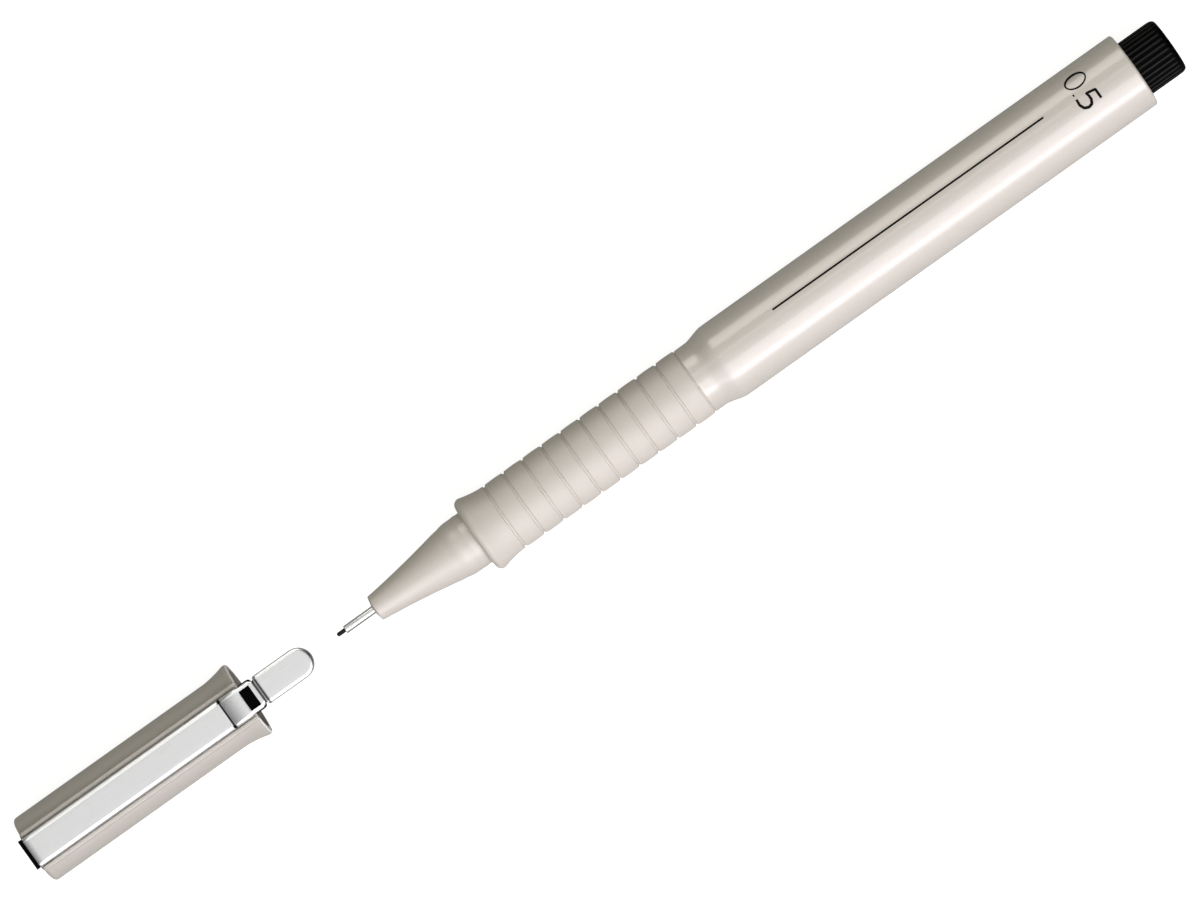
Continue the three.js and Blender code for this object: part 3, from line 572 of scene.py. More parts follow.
rib_r = GRIP_D / 2
land_edge_r = rib_r - CROWN
groove_r = rib_r - GROOVE_DEPTH
groove_half = GROOVE_WIDTH / 2
grip_bore_r = groove_r - GRIP_WALL
lip_r = nose_r + LIP_ROOM
collar_rear = grip_front + COLLAR_LENGTH


def groove_side(x, towards):
    """Wall of a groove from its floor up to a rib, with a rounded rim."""
    half = towards * groove_half
    wall = [(x + half * GROOVE_FOOT, groove_r), (x + half * GROOVE_WALL, land_edge_r - RIM_ROUNDING)]
    return wall + curved(wall[-1], (x + half * GROOVE_RIM, land_edge_r), (x + half, land_edge_r), 4)


def rib_outline(groove):
    """One rib between two grooves: wall, crowned land, wall."""
    front = [(groove, groove_r)] + groove_side(groove, 1)
    rear = groove_side(groove + RIB_PITCH, -1)[::-1]
    land = curved(front[-1], (groove + RIB_PITCH / 2, rib_r + CROWN), rear[0], 10)
    return front + land + rear[1:] + [(groove + RIB_PITCH, groove_r)]


crest = (grip_front + COLLAR_CREST, barrel_r)
collar_foot = groove_side(collar_rear, -1)[::-1]
collar_front = (grip_front, lip_r + JOINT_WIDTH)
collar = [
    (neck_front, grip_bore_r), (neck_front, lip_r), (grip_front + JOINT_DEPTH, lip_r), collar_front,
    *curved(collar_front, (grip_front, barrel_r), crest, 10),
    *curved(crest, (grip_front + (COLLAR_CREST + COLLAR_LENGTH) / 2, rib_r), collar_foot[0], 16),
    *collar_foot[1:], (collar_rear, groove_r),
]
bm = bmesh.new()
turned(bm, collar, pen_start)
turned(bm, [(grip_rear, groove_r), (grip_rear, grip_bore_r), (neck_front, grip_bore_r)], pen_start)
sleeve_ends = finished("sleeve_ends", bm, matte_plastic)
rib_ring = turned_piece("rib_ring", rib_outline(collar_rear), pen_start, matte_plastic)

ribs, sizes = new_tree("rib_rings", {
    "Rib ring": "Object", "Rib count": "Int", "Rib pitch": "Float", "Weld": "Float",
})
step = add_node(ribs, "ShaderNodeCombineXYZ", {"X": sizes["Rib pitch"]})
row = add_node(ribs, "GeometryNodeMeshLine", {"Count": sizes["Rib count"], "Offset": step})
ring = add_node(ribs, "GeometryNodeObjectInfo", {"Object": sizes["Rib ring"]})
rings = add_node(ribs, "GeometryNodeInstanceOnPoints", {"Points": row, "Instance": ring.outputs["Geometry"]})
end_tree(ribs, sizes, [rings.outputs["Instances"], sizes["Geometry"]])
sleeve = run_tree("ribbed_grip_sleeve", sleeve_ends, ribs, matte_plastic, {
    "Rib ring": rib_ring, "Rib count": RIB_COUNT, "Rib pitch": RIB_PITCH * MM, "Weld": WELD * MM,
})
bpy.data.objects.remove(rib_ring)
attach(sleeve, "pen")
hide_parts("grip_sleeve")


# Rear plug
# Moulded plug of black polypropylene, pressed into the barrel's rear. Its head has thirty-two ribs
# along it, so the tree turns one rib about the axis thirty-two times; the hollow stem is turned.
PLUG_D = 7.7
PLUG_RIBS = 32
PLUG_GROOVE = 0.15
PLUG_CORNER = 0.55
PLUG_ROUNDING = 1.1
RIB_STEPS = 8
RIB_CREST = 0.25
GROOVE_POWER = 0.8
GROOVE_FADE = 3.0
END_RING = 0.6
RUBBED_DEPTH = 0.05
PLUG_FLOOR = 1.0
PLUG_WALL = 0.8
STEM_CLEARANCE = 0.05
PLUG_SKIN = (0.12, 0.12, 0.12)
PLUG_GLOSS = (0.3, 0.42)
PLUG_BUMPS = 0.004
PLUG_BLACK = "#020202"
PLUG_GREY = "#050505"
# Grey of the painted highlight along the ribs' crests
CREST_HIGHLIGHT_GREY = "#292928"

stem_front, plug_end = span("rear_plug", pen_start)
plug_r = PLUG_D / 2
stem_r = body_bore_r - STEM_CLEARANCE
rib_turn = 2 * math.pi / PLUG_RIBS

# Black polypropylene: deep black with a dull satin skin
black_plastic, tree, shader = new_material("black_polypropylene", IOR=1.49, Specular_IOR_Level=0.02)
grained(tree, shader, PLUG_SKIN, (PLUG_BLACK, PLUG_GREY), PLUG_GLOSS, PLUG_BUMPS)

# The same plastic, painted greyer on the ribs' crests: a painted highlight along each crest
crest_highlight_plastic, tree, shader = new_material("crest_highlight_polypropylene", IOR=1.49, Specular_IOR_Level=0.02)
grained(tree, shader, PLUG_SKIN, None, PLUG_GLOSS, PLUG_BUMPS)
place = add_node(tree, "ShaderNodeTexCoord")
from_axis = add_node(tree, "ShaderNodeMapping", {
    "Vector": place.outputs["Object"], "Location": (0.0, -axis.y, -axis.z),
})
off_axis = add_node(tree, "ShaderNodeVectorMath", {0: from_axis, 1: (0.0, 1.0, 1.0)}, operation="MULTIPLY")
radius = add_node(tree, "ShaderNodeVectorMath", {0: off_axis}, operation="LENGTH")
# Black in the grooves and grey on the crests: a painted highlight
on_crest = add_node(tree, "ShaderNodeMapRange", {
    "Value": radius.outputs["Value"], "From Min": (plug_r - RUBBED_DEPTH) * MM, "From Max": plug_r * MM,
})
painted_highlight = add_node(tree, "ShaderNodeMix", {
    0: on_crest, 6: colour(PLUG_BLACK), 7: colour(CREST_HIGHLIGHT_GREY),
}, data_type="RGBA")
tree.links.new(painted_highlight.outputs[2], shader.inputs["Base Color"])


def groove_share(share):
    """Depth of the groove round a rib: none on its narrow crest in the middle, round in the groove."""
    inside = max(0.0, ((share + 0.5) % 1 - RIB_CREST) / (1 - RIB_CREST))
    return math.sin(math.pi * inside) ** GROOVE_POWER if inside > 0 else 0.0


def ribbed_line(bm, x, inset, depth, count, height):
    """Vertices round the head at x, at a rib's steps, about an axis at a height."""
    line = []
    for i in range(count):
        radius = plug_r - inset - PLUG_GROOVE * depth * groove_share(i / RIB_STEPS % 1)
        angle = i / RIB_STEPS * rib_turn
        line.append(vertex(bm, pen_start, x, radius * math.sin(angle), radius * math.cos(angle), height))
    return line


corner_start = (plug_end - PLUG_ROUNDING, 0.0)
head_points = [corner_start] + curved(corner_start, (plug_end, 0.0), (plug_end, PLUG_CORNER))
rib_stations = [
    (barrel_rear, 0.0, 1.0),
    *[(x, inset, max(0.0, 1 - GROOVE_FADE * inset / PLUG_CORNER)) for x, inset in head_points],
    (plug_end, plug_r - (plug_r - PLUG_CORNER) * END_RING, 0.0),
]
bm = bmesh.new()
slices = [ribbed_line(bm, x, inset, depth, RIB_STEPS + 1, 0.0) for x, inset, depth in rib_stations]
slices.append(ribbed_line(bm, plug_end, plug_r, 0.0, 1, 0.0))
for a, b in zip(slices, slices[1:]):
    for i in range(RIB_STEPS):
        corners = [a[i], a[i + 1], b[min(i + 1, len(b) - 1)], b[min(i, len(b) - 1)]]
        bm.faces.new(list(dict.fromkeys(corners)))
rib_slice = finished("plug_rib", bm, crest_highlight_plastic)

floor_at, stem_bore_r = barrel_rear - PLUG_FLOOR, stem_r - PLUG_WALL
stem_outline = [
    (floor_at, 0), (floor_at, stem_bore_r), (stem_front, stem_bore_r), (stem_front, stem_r),
    (barrel_rear, stem_r),
]
bm = bmesh.new()
rings = turned(bm, stem_outline, pen_start, PLUG_RIBS * RIB_STEPS)
ring_skin(bm, [rings[-1], ribbed_line(bm, barrel_rear, 0.0, 1.0, PLUG_RIBS * RIB_STEPS, axis.z)])
plug_stem = finished("plug_stem", bm, crest_highlight_plastic)

around, sizes = new_tree("ribs_round_the_plug", {
    "Rib": "Object", "Rib count": "Int", "Axis height": "Float", "Weld": "Float",
})
on_axis = add_node(around, "ShaderNodeCombineXYZ", {"Z": sizes["Axis height"]})
places = add_node(around, "GeometryNodeMeshLine", {
    "Count": sizes["Rib count"], "Start Location": on_axis, "Offset": (0.0, 0.0, 0.0),
})
one_turn = add_node(around, "ShaderNodeMath", {0: -2 * math.pi, 1: sizes["Rib count"]}, operation="DIVIDE")
turn_angle = add_node(around, "ShaderNodeMath", {
    0: add_node(around, "GeometryNodeInputIndex"), 1: one_turn,
}, operation="MULTIPLY")
turned_ribs = add_node(around, "GeometryNodeInstanceOnPoints", {
    "Points": places, "Rotation": add_node(around, "ShaderNodeCombineXYZ", {"X": turn_angle}),
    "Instance": add_node(around, "GeometryNodeObjectInfo", {"Object": sizes["Rib"]}).outputs["Geometry"],
})
end_tree(around, sizes, [turned_ribs.outputs["Instances"], sizes["Geometry"]])
plug = run_tree("ribbed_rear_plug", plug_stem, around, crest_highlight_plastic, {
    "Rib": rib_slice, "Rib count": PLUG_RIBS, "Axis height": axis.z, "Weld": WELD * MM,
})
bpy.data.objects.remove(rib_slice)
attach(plug, "pen")
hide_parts("rear_plug")


# Cap shell
# Injection-moulded cap of satin pearl ABS. A round shell with a flat-topped seat for the clip along its
# whole length, flared at the mouth, with two slots at the closed end that hold the clip's legs.
CAP_D = 9.4
CAP_BORE_D = 7.8
CAP_END_WALL = 1.5
CAP_CORNER = 0.55
END_FACE_SHARE = 0.96
FLARE_LENGTH = 3.6
RIM_LENGTH = 0.6
FLARE_HOLLOW = 0.3
SEAT_RISE = 0.2
SEAT_HALF = 2.845
SEAT_CORNER = 0.2
SEAT_FILLET = 0.16
CLIP_WIDTH = 4.25
SHEET = 0.4
GROOVE_INSIDE = 0.1
GROOVE_OUTSIDE = 0.2
GROOVE_DRAFT = 0.01
SEAT_GROOVE = 0.4
MOUTH_CHAMFER = 0.15
LEAD_LENGTH = 0.6
LEAD_RISE = 0.45
LEG_AT = 0.5
LEG_LENGTH = 1.2
LEG_DEPTH = 0.7
LEG_ROOM = 0.15
CORNER_STEPS = 5
ROUND_STEPS = 56
CAP_SHARP = 28
CAP_DARK = "#bcb6ae"
CAP_LIGHT = "#c1bbb3"
RIM_HIGHLIGHT = "#fbf8f4"
BORE_SHADE_DARK = "#77716a"
BORE_SHADE_LIGHT = "#7f7972"

# A slightly dulled skin, and a polished line round the rim of the mouth, painted paler: a painted highlight
cap_plastic = pearl_abs("satin_cap_abs", (CAP_DARK, CAP_LIGHT), 0.4, 0.16, 0.36)
rim_highlight_plastic = pearl_abs("painted_highlight_rim_abs", (RIM_HIGHLIGHT, RIM_HIGHLIGHT), 0.7, 0.1, 0.3)

# The same plastic inside the cap, duller and painted darker: painted shade in the bore
bore_shade_plastic, tree, shader = new_material(
    "painted_shade_bore_abs", Roughness=0.7, IOR=1.54, Specular_IOR_Level=0.2,
)
grained(tree, shader, (0.3, 0.16, 0.16), (BORE_SHADE_DARK, BORE_SHADE_LIGHT), detail=3.0)

cap_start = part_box("cap_shell")[0].x
cap_length = span("cap_shell", cap_start)[1]
cap_r, cap_bore_r = CAP_D / 2, CAP_BORE_D / 2
clip_half = CLIP_WIDTH / 2
seat_top = cap_r + SEAT_RISE
flare_start = cap_length - FLARE_LENGTH
flare_end = cap_length - RIM_LENGTH
bridge_rise = barrel_r - cap_r
flare_control = ((flare_start + cap_length) / 2, cap_r + bridge_rise * FLARE_HOLLOW)


def cap_section(radius, inset):
    """Half outline of the cap across its axis, as (y, z) from the seat's middle down to the bottom."""
    half, top, r = SEAT_HALF - inset, radius + SEAT_RISE - inset, radius - inset
    depth = SEAT_GROOVE * max(0.0, 1 - inset / SEAT_GROOVE)
    inner, outer = clip_half - SHEET - GROOVE_INSIDE, clip_half + GROOVE_OUTSIDE
    corner = [math.pi / 2 * i / CORNER_STEPS for i in range(CORNER_STEPS + 1)]
    foot_z = math.sqrt(r * r - half * half)
    foot_angle = math.atan2(half, foot_z) + SEAT_FILLET / r
    wall_foot = (half, foot_z + SEAT_FILLET)
    shell = [foot_angle + (math.pi - foot_angle) * i / ROUND_STEPS for i in range(1, ROUND_STEPS + 1)]
    return [
        (0.0, top), (inner / 2, top), (inner, top), (inner + GROOVE_DRAFT, top - depth),
        (outer - GROOVE_DRAFT, top - depth), (outer, top),
        *[(half - SEAT_CORNER * (1 - math.sin(a)), top - SEAT_CORNER * (1 - math.cos(a))) for a in corner],
        wall_foot,
        *curved(wall_foot, (half, foot_z), (r * math.sin(foot_angle), r * math.cos(foot_angle)), 4),
        *[(r * math.sin(a), r * math.cos(a)) for a in shell],
    ]


def whole_ring(bm, x, half_points):
    """Ring of the cap's vertices from a half outline and its mirror image."""
    mirrored = [(-y, z) for y, z in half_points[-2:0:-1]]
    return [vertex(bm, cap_start, x, y, z) for y, z in half_points + mirrored]


def block(bm, x, y, z):
    """Closed box on the cap between two places each along X, Y and Z, in millimetres."""
    for v in bmesh.ops.create_cube(bm, size=1.0)["verts"]:
        v.co = Vector((
            cap_start + x[v.co.x > 0] * MM, axis.y + y[v.co.y > 0] * MM, axis.z + z[v.co.z > 0] * MM,
        ))


def modify(piece, name, kind, **settings):
    """Adds a modifier with its settings."""
    modifier = piece.modifiers.new(name, kind)
    for key, value in settings.items():
        setattr(modifier, key, value)


def apply_all(piece, sharp=SHARP):
    """Replaces a piece's mesh by what its modifiers make of it."""
    mesh = plain_mesh(piece)
    piece.modifiers.clear()
    piece.data = smoothed(mesh, sharp)


corner = [math.pi / 2 * i / (CORNER_STEPS + 1) for i in range(CORNER_STEPS + 2)]
cap_stations = [
    *[(CAP_CORNER * (1 - math.cos(a)), cap_r, CAP_CORNER * (1 - math.sin(a))) for a in corner],
    *[(flare_start * share, cap_r, 0.0) for share in (0.2, 0.5, 0.8, 1.0)],
    *[(x, r, 0.0) for x, r in curved((flare_start, cap_r), flare_control, (flare_end, barrel_r), 16)],
    (cap_length - MOUTH_CHAMFER, barrel_r, 0.0), (cap_length, barrel_r, MOUTH_CHAMFER),
]
bore_stations = [
    (cap_length, cap_bore_r + LEAD_RISE), (cap_length - LEAD_LENGTH, cap_bore_r), (CAP_END_WALL, cap_bore_r),
]

bm = bmesh.new()
end_face = [(y * END_FACE_SHARE, z * END_FACE_SHARE) for y, z in cap_section(cap_r, CAP_CORNER)]
rings = [[vertex(bm, cap_start, 0.0, 0.0, 0.0)], whole_ring(bm, 0.0, end_face)]
rings += [whole_ring(bm, x, cap_section(r, inset)) for x, r, inset in cap_stations]
bore_angles = [math.atan2(y, z) for y, z in cap_section(barrel_r, MOUTH_CHAMFER)]
for x, r in bore_stations:
    rings.append(whole_ring(bm, x, [(r * math.sin(a), r * math.cos(a)) for a in bore_angles]))
rings.append([vertex(bm, cap_start, CAP_END_WALL, 0.0, 0.0)])
ring_skin(bm, rings)
# The bore's faces take the material of painted shade, and the mouth's chamfer the one of painted highlight
bore_points = {v for ring in rings[-4:] for v in ring}
rim_points = {v for ring in rings[-6:-4] for v in ring}
for face in bm.faces:
    if bore_points.issuperset(face.verts):
        face.material_index = 1
    elif rim_points.issuperset(face.verts):
        face.material_index = 2
cap_shell = finished("moulded_cap_shell", bm, cap_plastic, CAP_SHARP)
cap_shell.data.materials.append(bore_shade_plastic)
cap_shell.data.materials.append(rim_highlight_plastic)

slot_x = (LEG_AT - LEG_ROOM, LEG_AT + LEG_LENGTH + LEG_ROOM)
slot_z = (seat_top - LEG_DEPTH - LEG_ROOM, seat_top + 1)
bm = bmesh.new()
for inner, outer in [(clip_half - SHEET, clip_half), (-clip_half, SHEET - clip_half)]:
    block(bm, slot_x, (inner - LEG_ROOM, outer + LEG_ROOM), slot_z)
slot_cutter = finished("slot_cutter", bm, cap_plastic)
modify(cap_shell, "leg_slots", "BOOLEAN", operation="DIFFERENCE", solver="EXACT", object=slot_cutter)
apply_all(cap_shell, CAP_SHARP)
bpy.data.objects.remove(slot_cutter)
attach(cap_shell, "cap")
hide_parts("cap_shell")


# Inner seal of the cap
# Soft cup of natural polypropylene at the cap's closed end. Its lip closes on the nose cone, so the nib
# does not dry. It is pushed in from the mouth.
SEAL_FLOOR = 1.0
SEAL_LIP = 0.12
SEAL_BORE_D = 6.014
SEAL_EDGE = 0.35
SEAL_CHAMFER = 0.05

seal_front, seal_mouth = span("cap_inner_seal", cap_start)
seal_r = (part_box("cap_inner_seal")[1].y - axis.y) / MM / math.cos(math.pi / CAD_SIDES)
seal_bore_r = SEAL_BORE_D / 2
seal_lip = (seal_mouth, seal_bore_r + SEAL_LIP)
seal_outline = [
    (seal_front, 0), (seal_front, seal_r), (seal_mouth - SEAL_CHAMFER, seal_r),
    (seal_mouth, seal_r - SEAL_CHAMFER), seal_lip,
    *curved(seal_lip, (seal_mouth, seal_bore_r), (seal_mouth - SEAL_EDGE, seal_bore_r), 5),
    (seal_front + SEAL_FLOOR, seal_bore_r), (seal_front + SEAL_FLOOR, 0),
]
seal = turned_piece("cap_inner_cup", seal_outline, cap_start, natural_plastic)
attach(seal, "cap")
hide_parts("cap_inner_seal")


# Colour bar
# Moulded black bar that lies on the cap's seat and shows the ink's colour: a head over the closed end,
# a narrow run under the clip, and a wide foot past the mouth. The clip holds it down.
BAR_THICKNESS = 0.55
BAR_SIDE_ROOM = 0.15
BAR_HEAD_DROP = 0.7
BAR_FOOT_START = 0.15
BAR_FOOT_LENGTH = 1.75
BAR_EDGE = 0.07
BAR_EDGE_ANGLE = 40
FOOT_CORNER = 0.6
CLIP_RUN = 0.12
ROOT_DROP = 0.25

bar_start = span("colour_bar", cap_start)[0]
bar_top = seat_top + BAR_THICKNESS
bar_half = clip_half - SHEET - BAR_SIDE_ROOM
strip_top = bar_top + CLIP_RUN + SHEET
foot_start = cap_length + BAR_FOOT_START
bar_end = foot_start + BAR_FOOT_LENGTH
corner_start = (bar_end - FOOT_CORNER, clip_half)

# Stations along the bar: x, half width, underside and top
head = (clip_half, seat_top - BAR_HEAD_DROP, strip_top - ROOT_DROP)
run = (bar_half, seat_top, bar_top)
flare = curved((flare_start, cap_r), flare_control, (flare_end, barrel_r), 14)
foot = [
    (foot_start, bar_half), (foot_start, clip_half), corner_start,
    *curved(corner_start, (bar_end, clip_half), (bar_end, clip_half - FOOT_CORNER)),
]
bar_stations = [
    (bar_start, *head), (0.0, *head), (0.0, *run), (flare_start, *run),
    *[(x, bar_half, seat_top + r - cap_r, bar_top + r - cap_r) for x, r in flare],
    *[(x, half, seat_top + bridge_rise, bar_top + bridge_rise) for x, half in foot],
]
bm = bmesh.new()
rings = [
    [vertex(bm, cap_start, x, y, z) for y, z in [(half, low), (half, high), (-half, high), (-half, low)]]
    for x, half, low, high in bar_stations
]
ring_skin(bm, rings)
bm.faces.new(rings[0])
bm.faces.new(rings[-1])
bar = finished("black_colour_bar", bm, black_plastic)
modify(
    bar, "edges", "BEVEL", width=BAR_EDGE * MM, segments=3,
    limit_method="ANGLE", angle_limit=math.radians(BAR_EDGE_ANGLE),
)
apply_all(bar)
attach(bar, "cap")
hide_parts("colour_bar")


# Clip
# Strip of stainless spring steel, blanked and pressed in one piece: rolled-down edges, a step where the
# bridge rises over the flared mouth, a window, a fold and a half-round tongue. Two legs hold it in the
# cap's slots.
BEND_RADIUS = 0.7
BEND_TURN = 25.0
ROLL_RADIUS = 0.45
FLANGE_SINK = 0.22
ROOT_LENGTH = 0.9
BRIDGE_LEAD = 0.55
BRIDGE_RAMP = 2.5
RAMP_POWER = 2.2
STEP_DROP = 0.18
STEP_LENGTH = 0.12
FOLD_PAST_MOUTH = 2.4
FOLD_GAP = 0.37
FOLD_DEPTH = 0.16
FOLD_WIDTH = 0.34
TONGUE_DEPTH = 0.75
TONGUE_WIDTH = 4.06
WINDOW_LENGTH = 1.5
WINDOW_WIDTH = 2.9
WINDOW_PAST_MOUTH = -0.15
NOTCH_LENGTH = 0.42
NOTCH_WIDTH = 0.5
NOTCH_DROP = 0.4
PINCH = 0.45
PINCH_BEFORE = 1.3
PINCH_AFTER = 0.37
BRIDGE_DRAW = 0.13
BRIDGE_DRAW_LENGTH = 0.6
SHEET_EDGE = 0.05
SHEET_EDGE_ANGLE = 50
CLIP_SHARP = 40
BEND_STEPS = 6
ROLL_STEPS = 8
TIP_STEPS = 32
RUN_STEPS = 12
SMALLEST_STEP = 0.012
CLIP_STEEL = "#dadad8"
CLIP_STEEL_EDGE = "#8b8b88"
BEND_HIGHLIGHT = "#f4f4f1"
BEND_SOFT = 0.06
# Painted shade in the creases of the step and the folds: its colour, and the half width and darkness of each
# line
CREASE_SHADE_BLACK = "#141412"
STEP_LINE = 0.14
STEP_SHADE = 0.95
STEP_END = 0.3
STEP_END_FROM = 1.65
FOLD_LINE = 0.11
FOLD_SHADE = 0.72

clip_start, clip_rear = span("clip", cap_start)
step_at = flare_start + BRIDGE_LEAD
fold_at = cap_length + FOLD_PAST_MOUTH
pinch_at = fold_at - FOLD_GAP
tongue_half = TONGUE_WIDTH / 2
tip_centre = clip_rear - tongue_half
strip_foot = seat_top - FLANGE_SINK
window_start = cap_length + WINDOW_PAST_MOUTH
cut_end = bar_end + BAR_FOOT_START
bend_end = math.radians(BEND_TURN)
bend_drop = BEND_RADIUS * (1 - math.cos(bend_end))
roll_width = BEND_RADIUS * math.sin(bend_end) + ROLL_RADIUS * (1 - math.sin(bend_end))


def ramp_left(x):
    """Share of the bridge's rise that is still to come at x."""
    share = min(1.0, max(0.0, (x - step_at) / BRIDGE_RAMP))
    return (1 - share) ** RAMP_POWER


def clip_rise(x):
    """Height of the strip above its own level, as it eases up over the flared mouth."""
    return bridge_rise * (1 - ramp_left(x))


def crease(x, middle):
    """Depth of a pressed line across the strip."""
    share = min(1.0, abs(x - middle) / (FOLD_WIDTH / 2))
    return FOLD_DEPTH * (1 + math.cos(math.pi * share)) / 2


def clip_top(x):
    """Height of the strip's flat, with the step line where the bridge starts and a double fold after it."""
    root = ROOT_DROP * max(0.0, 1 - (x - clip_start) / ROOT_LENGTH) ** 2
    step = STEP_DROP * min(1.0, max(0.0, (x - step_at) / STEP_LENGTH)) * ramp_left(x)
    return strip_top + clip_rise(x) - root - step - crease(x, pinch_at) - crease(x, fold_at)


def clip_half_at(x):
    """Half width of the strip, which draws in a little on the bridge and more at the fold."""
    full, reach = (clip_half, PINCH_BEFORE) if x < pinch_at else (tongue_half, PINCH_AFTER)
    share = max(0.0, 1 - abs(x - pinch_at) / reach)
    on_bridge = min(1.0, max(0.0, 1 + (x - cap_length) / BRIDGE_DRAW_LENGTH)) if x < pinch_at else 0.0
    drawn = (full - tongue_half + PINCH) * share * share
    return full - max(drawn, BRIDGE_DRAW * on_bridge)


# Pressed stainless steel: satin from rolling and tumbling, with faint lines along the strip, coarser
# than real. The bends along its sides are painted paler, a painted highlight, and the step and the fold
# are painted dark, as painted shade in their creases.
clip_steel, tree, shader = new_material(
    "pressed_stainless_steel", Metallic=1.0, Specular_Tint=colour(CLIP_STEEL_EDGE),
)
grained(tree, shader, (4.0, 0.12, 0.12), roughness=(0.27, 0.31), bumps=0.001, detail=3.0)
place = add_node(tree, "ShaderNodeSeparateXYZ", {
    "Vector": add_node(tree, "ShaderNodeTexCoord").outputs["Object"],
})
off_axis = add_node(tree, "ShaderNodeMath", {0: place.outputs["Y"], 1: axis.y}, operation="SUBTRACT")
off_middle = add_node(tree, "ShaderNodeMath", {0: off_axis}, operation="ABSOLUTE")
at_side = add_node(tree, "ShaderNodeMath", {0: off_middle, 1: STEP_END_FROM * MM}, operation="GREATER_THAN")
step_middle = step_at + STEP_LENGTH / 2
# Lines of painted shade in the strip's creases: place, half width and shade, over the whole width or at the
# sides only
crease_shade_lines = [
    (step_middle, STEP_LINE, STEP_SHADE, 1.0), (step_middle, STEP_END, 1.0, at_side),
    (pinch_at, FOLD_LINE, FOLD_SHADE, 1.0), (fold_at, FOLD_LINE, FOLD_SHADE, 1.0),
]
# Mask of the painted shade: darkest along the step and the two folds, and at the step's ends at the sides
pressed = 0.0
for x, half, shade, where in crease_shade_lines:
    past = add_node(tree, "ShaderNodeMath", {
        0: place.outputs["X"], 1: cap_start + x * MM,
    }, operation="SUBTRACT")
    line = add_node(tree, "ShaderNodeMapRange", {
        "Value": add_node(tree, "ShaderNodeMath", {0: past}, operation="ABSOLUTE"),
        "From Min": half * MM / 2, "From Max": half * MM, "To Min": shade, "To Max": 0.0,
    })
    there = add_node(tree, "ShaderNodeMath", {0: line, 1: where}, operation="MULTIPLY")
    pressed = add_node(tree, "ShaderNodeMath", {0: pressed, 1: there}, operation="MAXIMUM")
# Paler steel on the bends along the sides: a painted highlight
on_bend = add_node(tree, "ShaderNodeMapRange", {
    "Value": off_middle, "From Min": (clip_half - roll_width) * MM,
    "From Max": (clip_half - roll_width + BEND_SOFT) * MM,
})
painted_highlight = add_node(tree, "ShaderNodeMix", {
    0: on_bend, 6: colour(CLIP_STEEL), 7: colour(BEND_HIGHLIGHT),
}, data_type="RGBA")
crease_shaded = add_node(tree, "ShaderNodeMix", {
    0: pressed, 6: painted_highlight.outputs[2], 7: colour(CREASE_SHADE_BLACK),
}, data_type="RGBA")
tree.links.new(crease_shaded.outputs[2], shader.inputs["Base Color"])


def clip_profile(x):
    """Half section of the strip at x, as (y, z) from its middle out to the bend, the roll and a leg."""
    half, top = clip_half_at(x), clip_top(x)
    foot = strip_foot + clip_rise(x) if x < fold_at else strip_top + bridge_rise - TONGUE_DEPTH
    flat = half - roll_width
    bend = [bend_end * i / BEND_STEPS for i in range(1, BEND_STEPS + 1)]
    roll = [bend_end + (math.pi / 2 - bend_end) * i / ROLL_STEPS for i in range(1, ROLL_STEPS + 1)]
    roll_z = top - bend_drop - ROLL_RADIUS * math.cos(bend_end)
    return [
        (0.0, top), (flat / 2, top), (flat, top),
        *[(flat + BEND_RADIUS * math.sin(a), top - BEND_RADIUS * (1 - math.cos(a))) for a in bend],
        *[(half - ROLL_RADIUS * (1 - math.sin(a)), roll_z + ROLL_RADIUS * math.cos(a)) for a in roll],
        (half, foot), (half, seat_top - LEG_DEPTH),
    ]


flange_row = 2 + BEND_STEPS + ROLL_STEPS
leg_row = flange_row + 1


def kept(x, row):
    """Whether the strip has metal at this place."""
    if row == flange_row:
        return not cap_length < x < cut_end
    if row == leg_row:
        return LEG_AT < x < LEG_AT + LEG_LENGTH
    return True


# Places where the strip's shape changes, and the stretches over which it changes with their steps
marks = [LEG_AT, LEG_AT + LEG_LENGTH, step_at, cap_length, cut_end, tip_centre]
marks += [step_at * i / RUN_STEPS for i in range(1, RUN_STEPS)]
stretches = [
    (clip_start, ROOT_LENGTH, 6), (step_at, STEP_LENGTH, 4), (step_at, BRIDGE_RAMP, 16),
    (pinch_at - FOLD_WIDTH / 2, FOLD_WIDTH, 8), (pinch_at, -PINCH_BEFORE, 8),
    (fold_at - FOLD_WIDTH / 2, FOLD_WIDTH, 8), (fold_at - FOLD_PAST_MOUTH, 2 * FOLD_PAST_MOUTH, 16),
]
for begin, length, count in stretches:
    marks += [begin + length * i / count for i in range(count + 1)]
clip_xs = [clip_start]
for x in sorted(marks):
    if x - clip_xs[-1] > SMALLEST_STEP:
        clip_xs.append(x)

bm = bmesh.new()
columns = []
for x in clip_xs:
    profile = clip_profile(x)
    near = [vertex(bm, cap_start, x, y, z) for y, z in profile]
    far = near[:1] + [vertex(bm, cap_start, x, -y, z) for y, z in profile[1:]]
    columns.append((near, far))
for (x0, a), (x1, b) in zip(zip(clip_xs, columns), zip(clip_xs[1:], columns[1:])):
    for side in (0, 1):
        for row in range(leg_row):
            if kept((x0 + x1) / 2, row):
                bm.faces.new([a[side][row], b[side][row], b[side][row + 1], a[side][row + 1]])
near, far = columns[-1]
tip_profile = clip_profile(tip_centre)[1:leg_row]
spokes = [near[:leg_row]]
for i in range(1, TIP_STEPS):
    a = math.pi / 2 - math.pi * i / TIP_STEPS
    around_tip = [
        vertex(bm, cap_start, tip_centre + y * math.cos(a), y * math.sin(a), z) for y, z in tip_profile
    ]
    spokes.append(near[:1] + around_tip)
spokes.append(far[:leg_row])
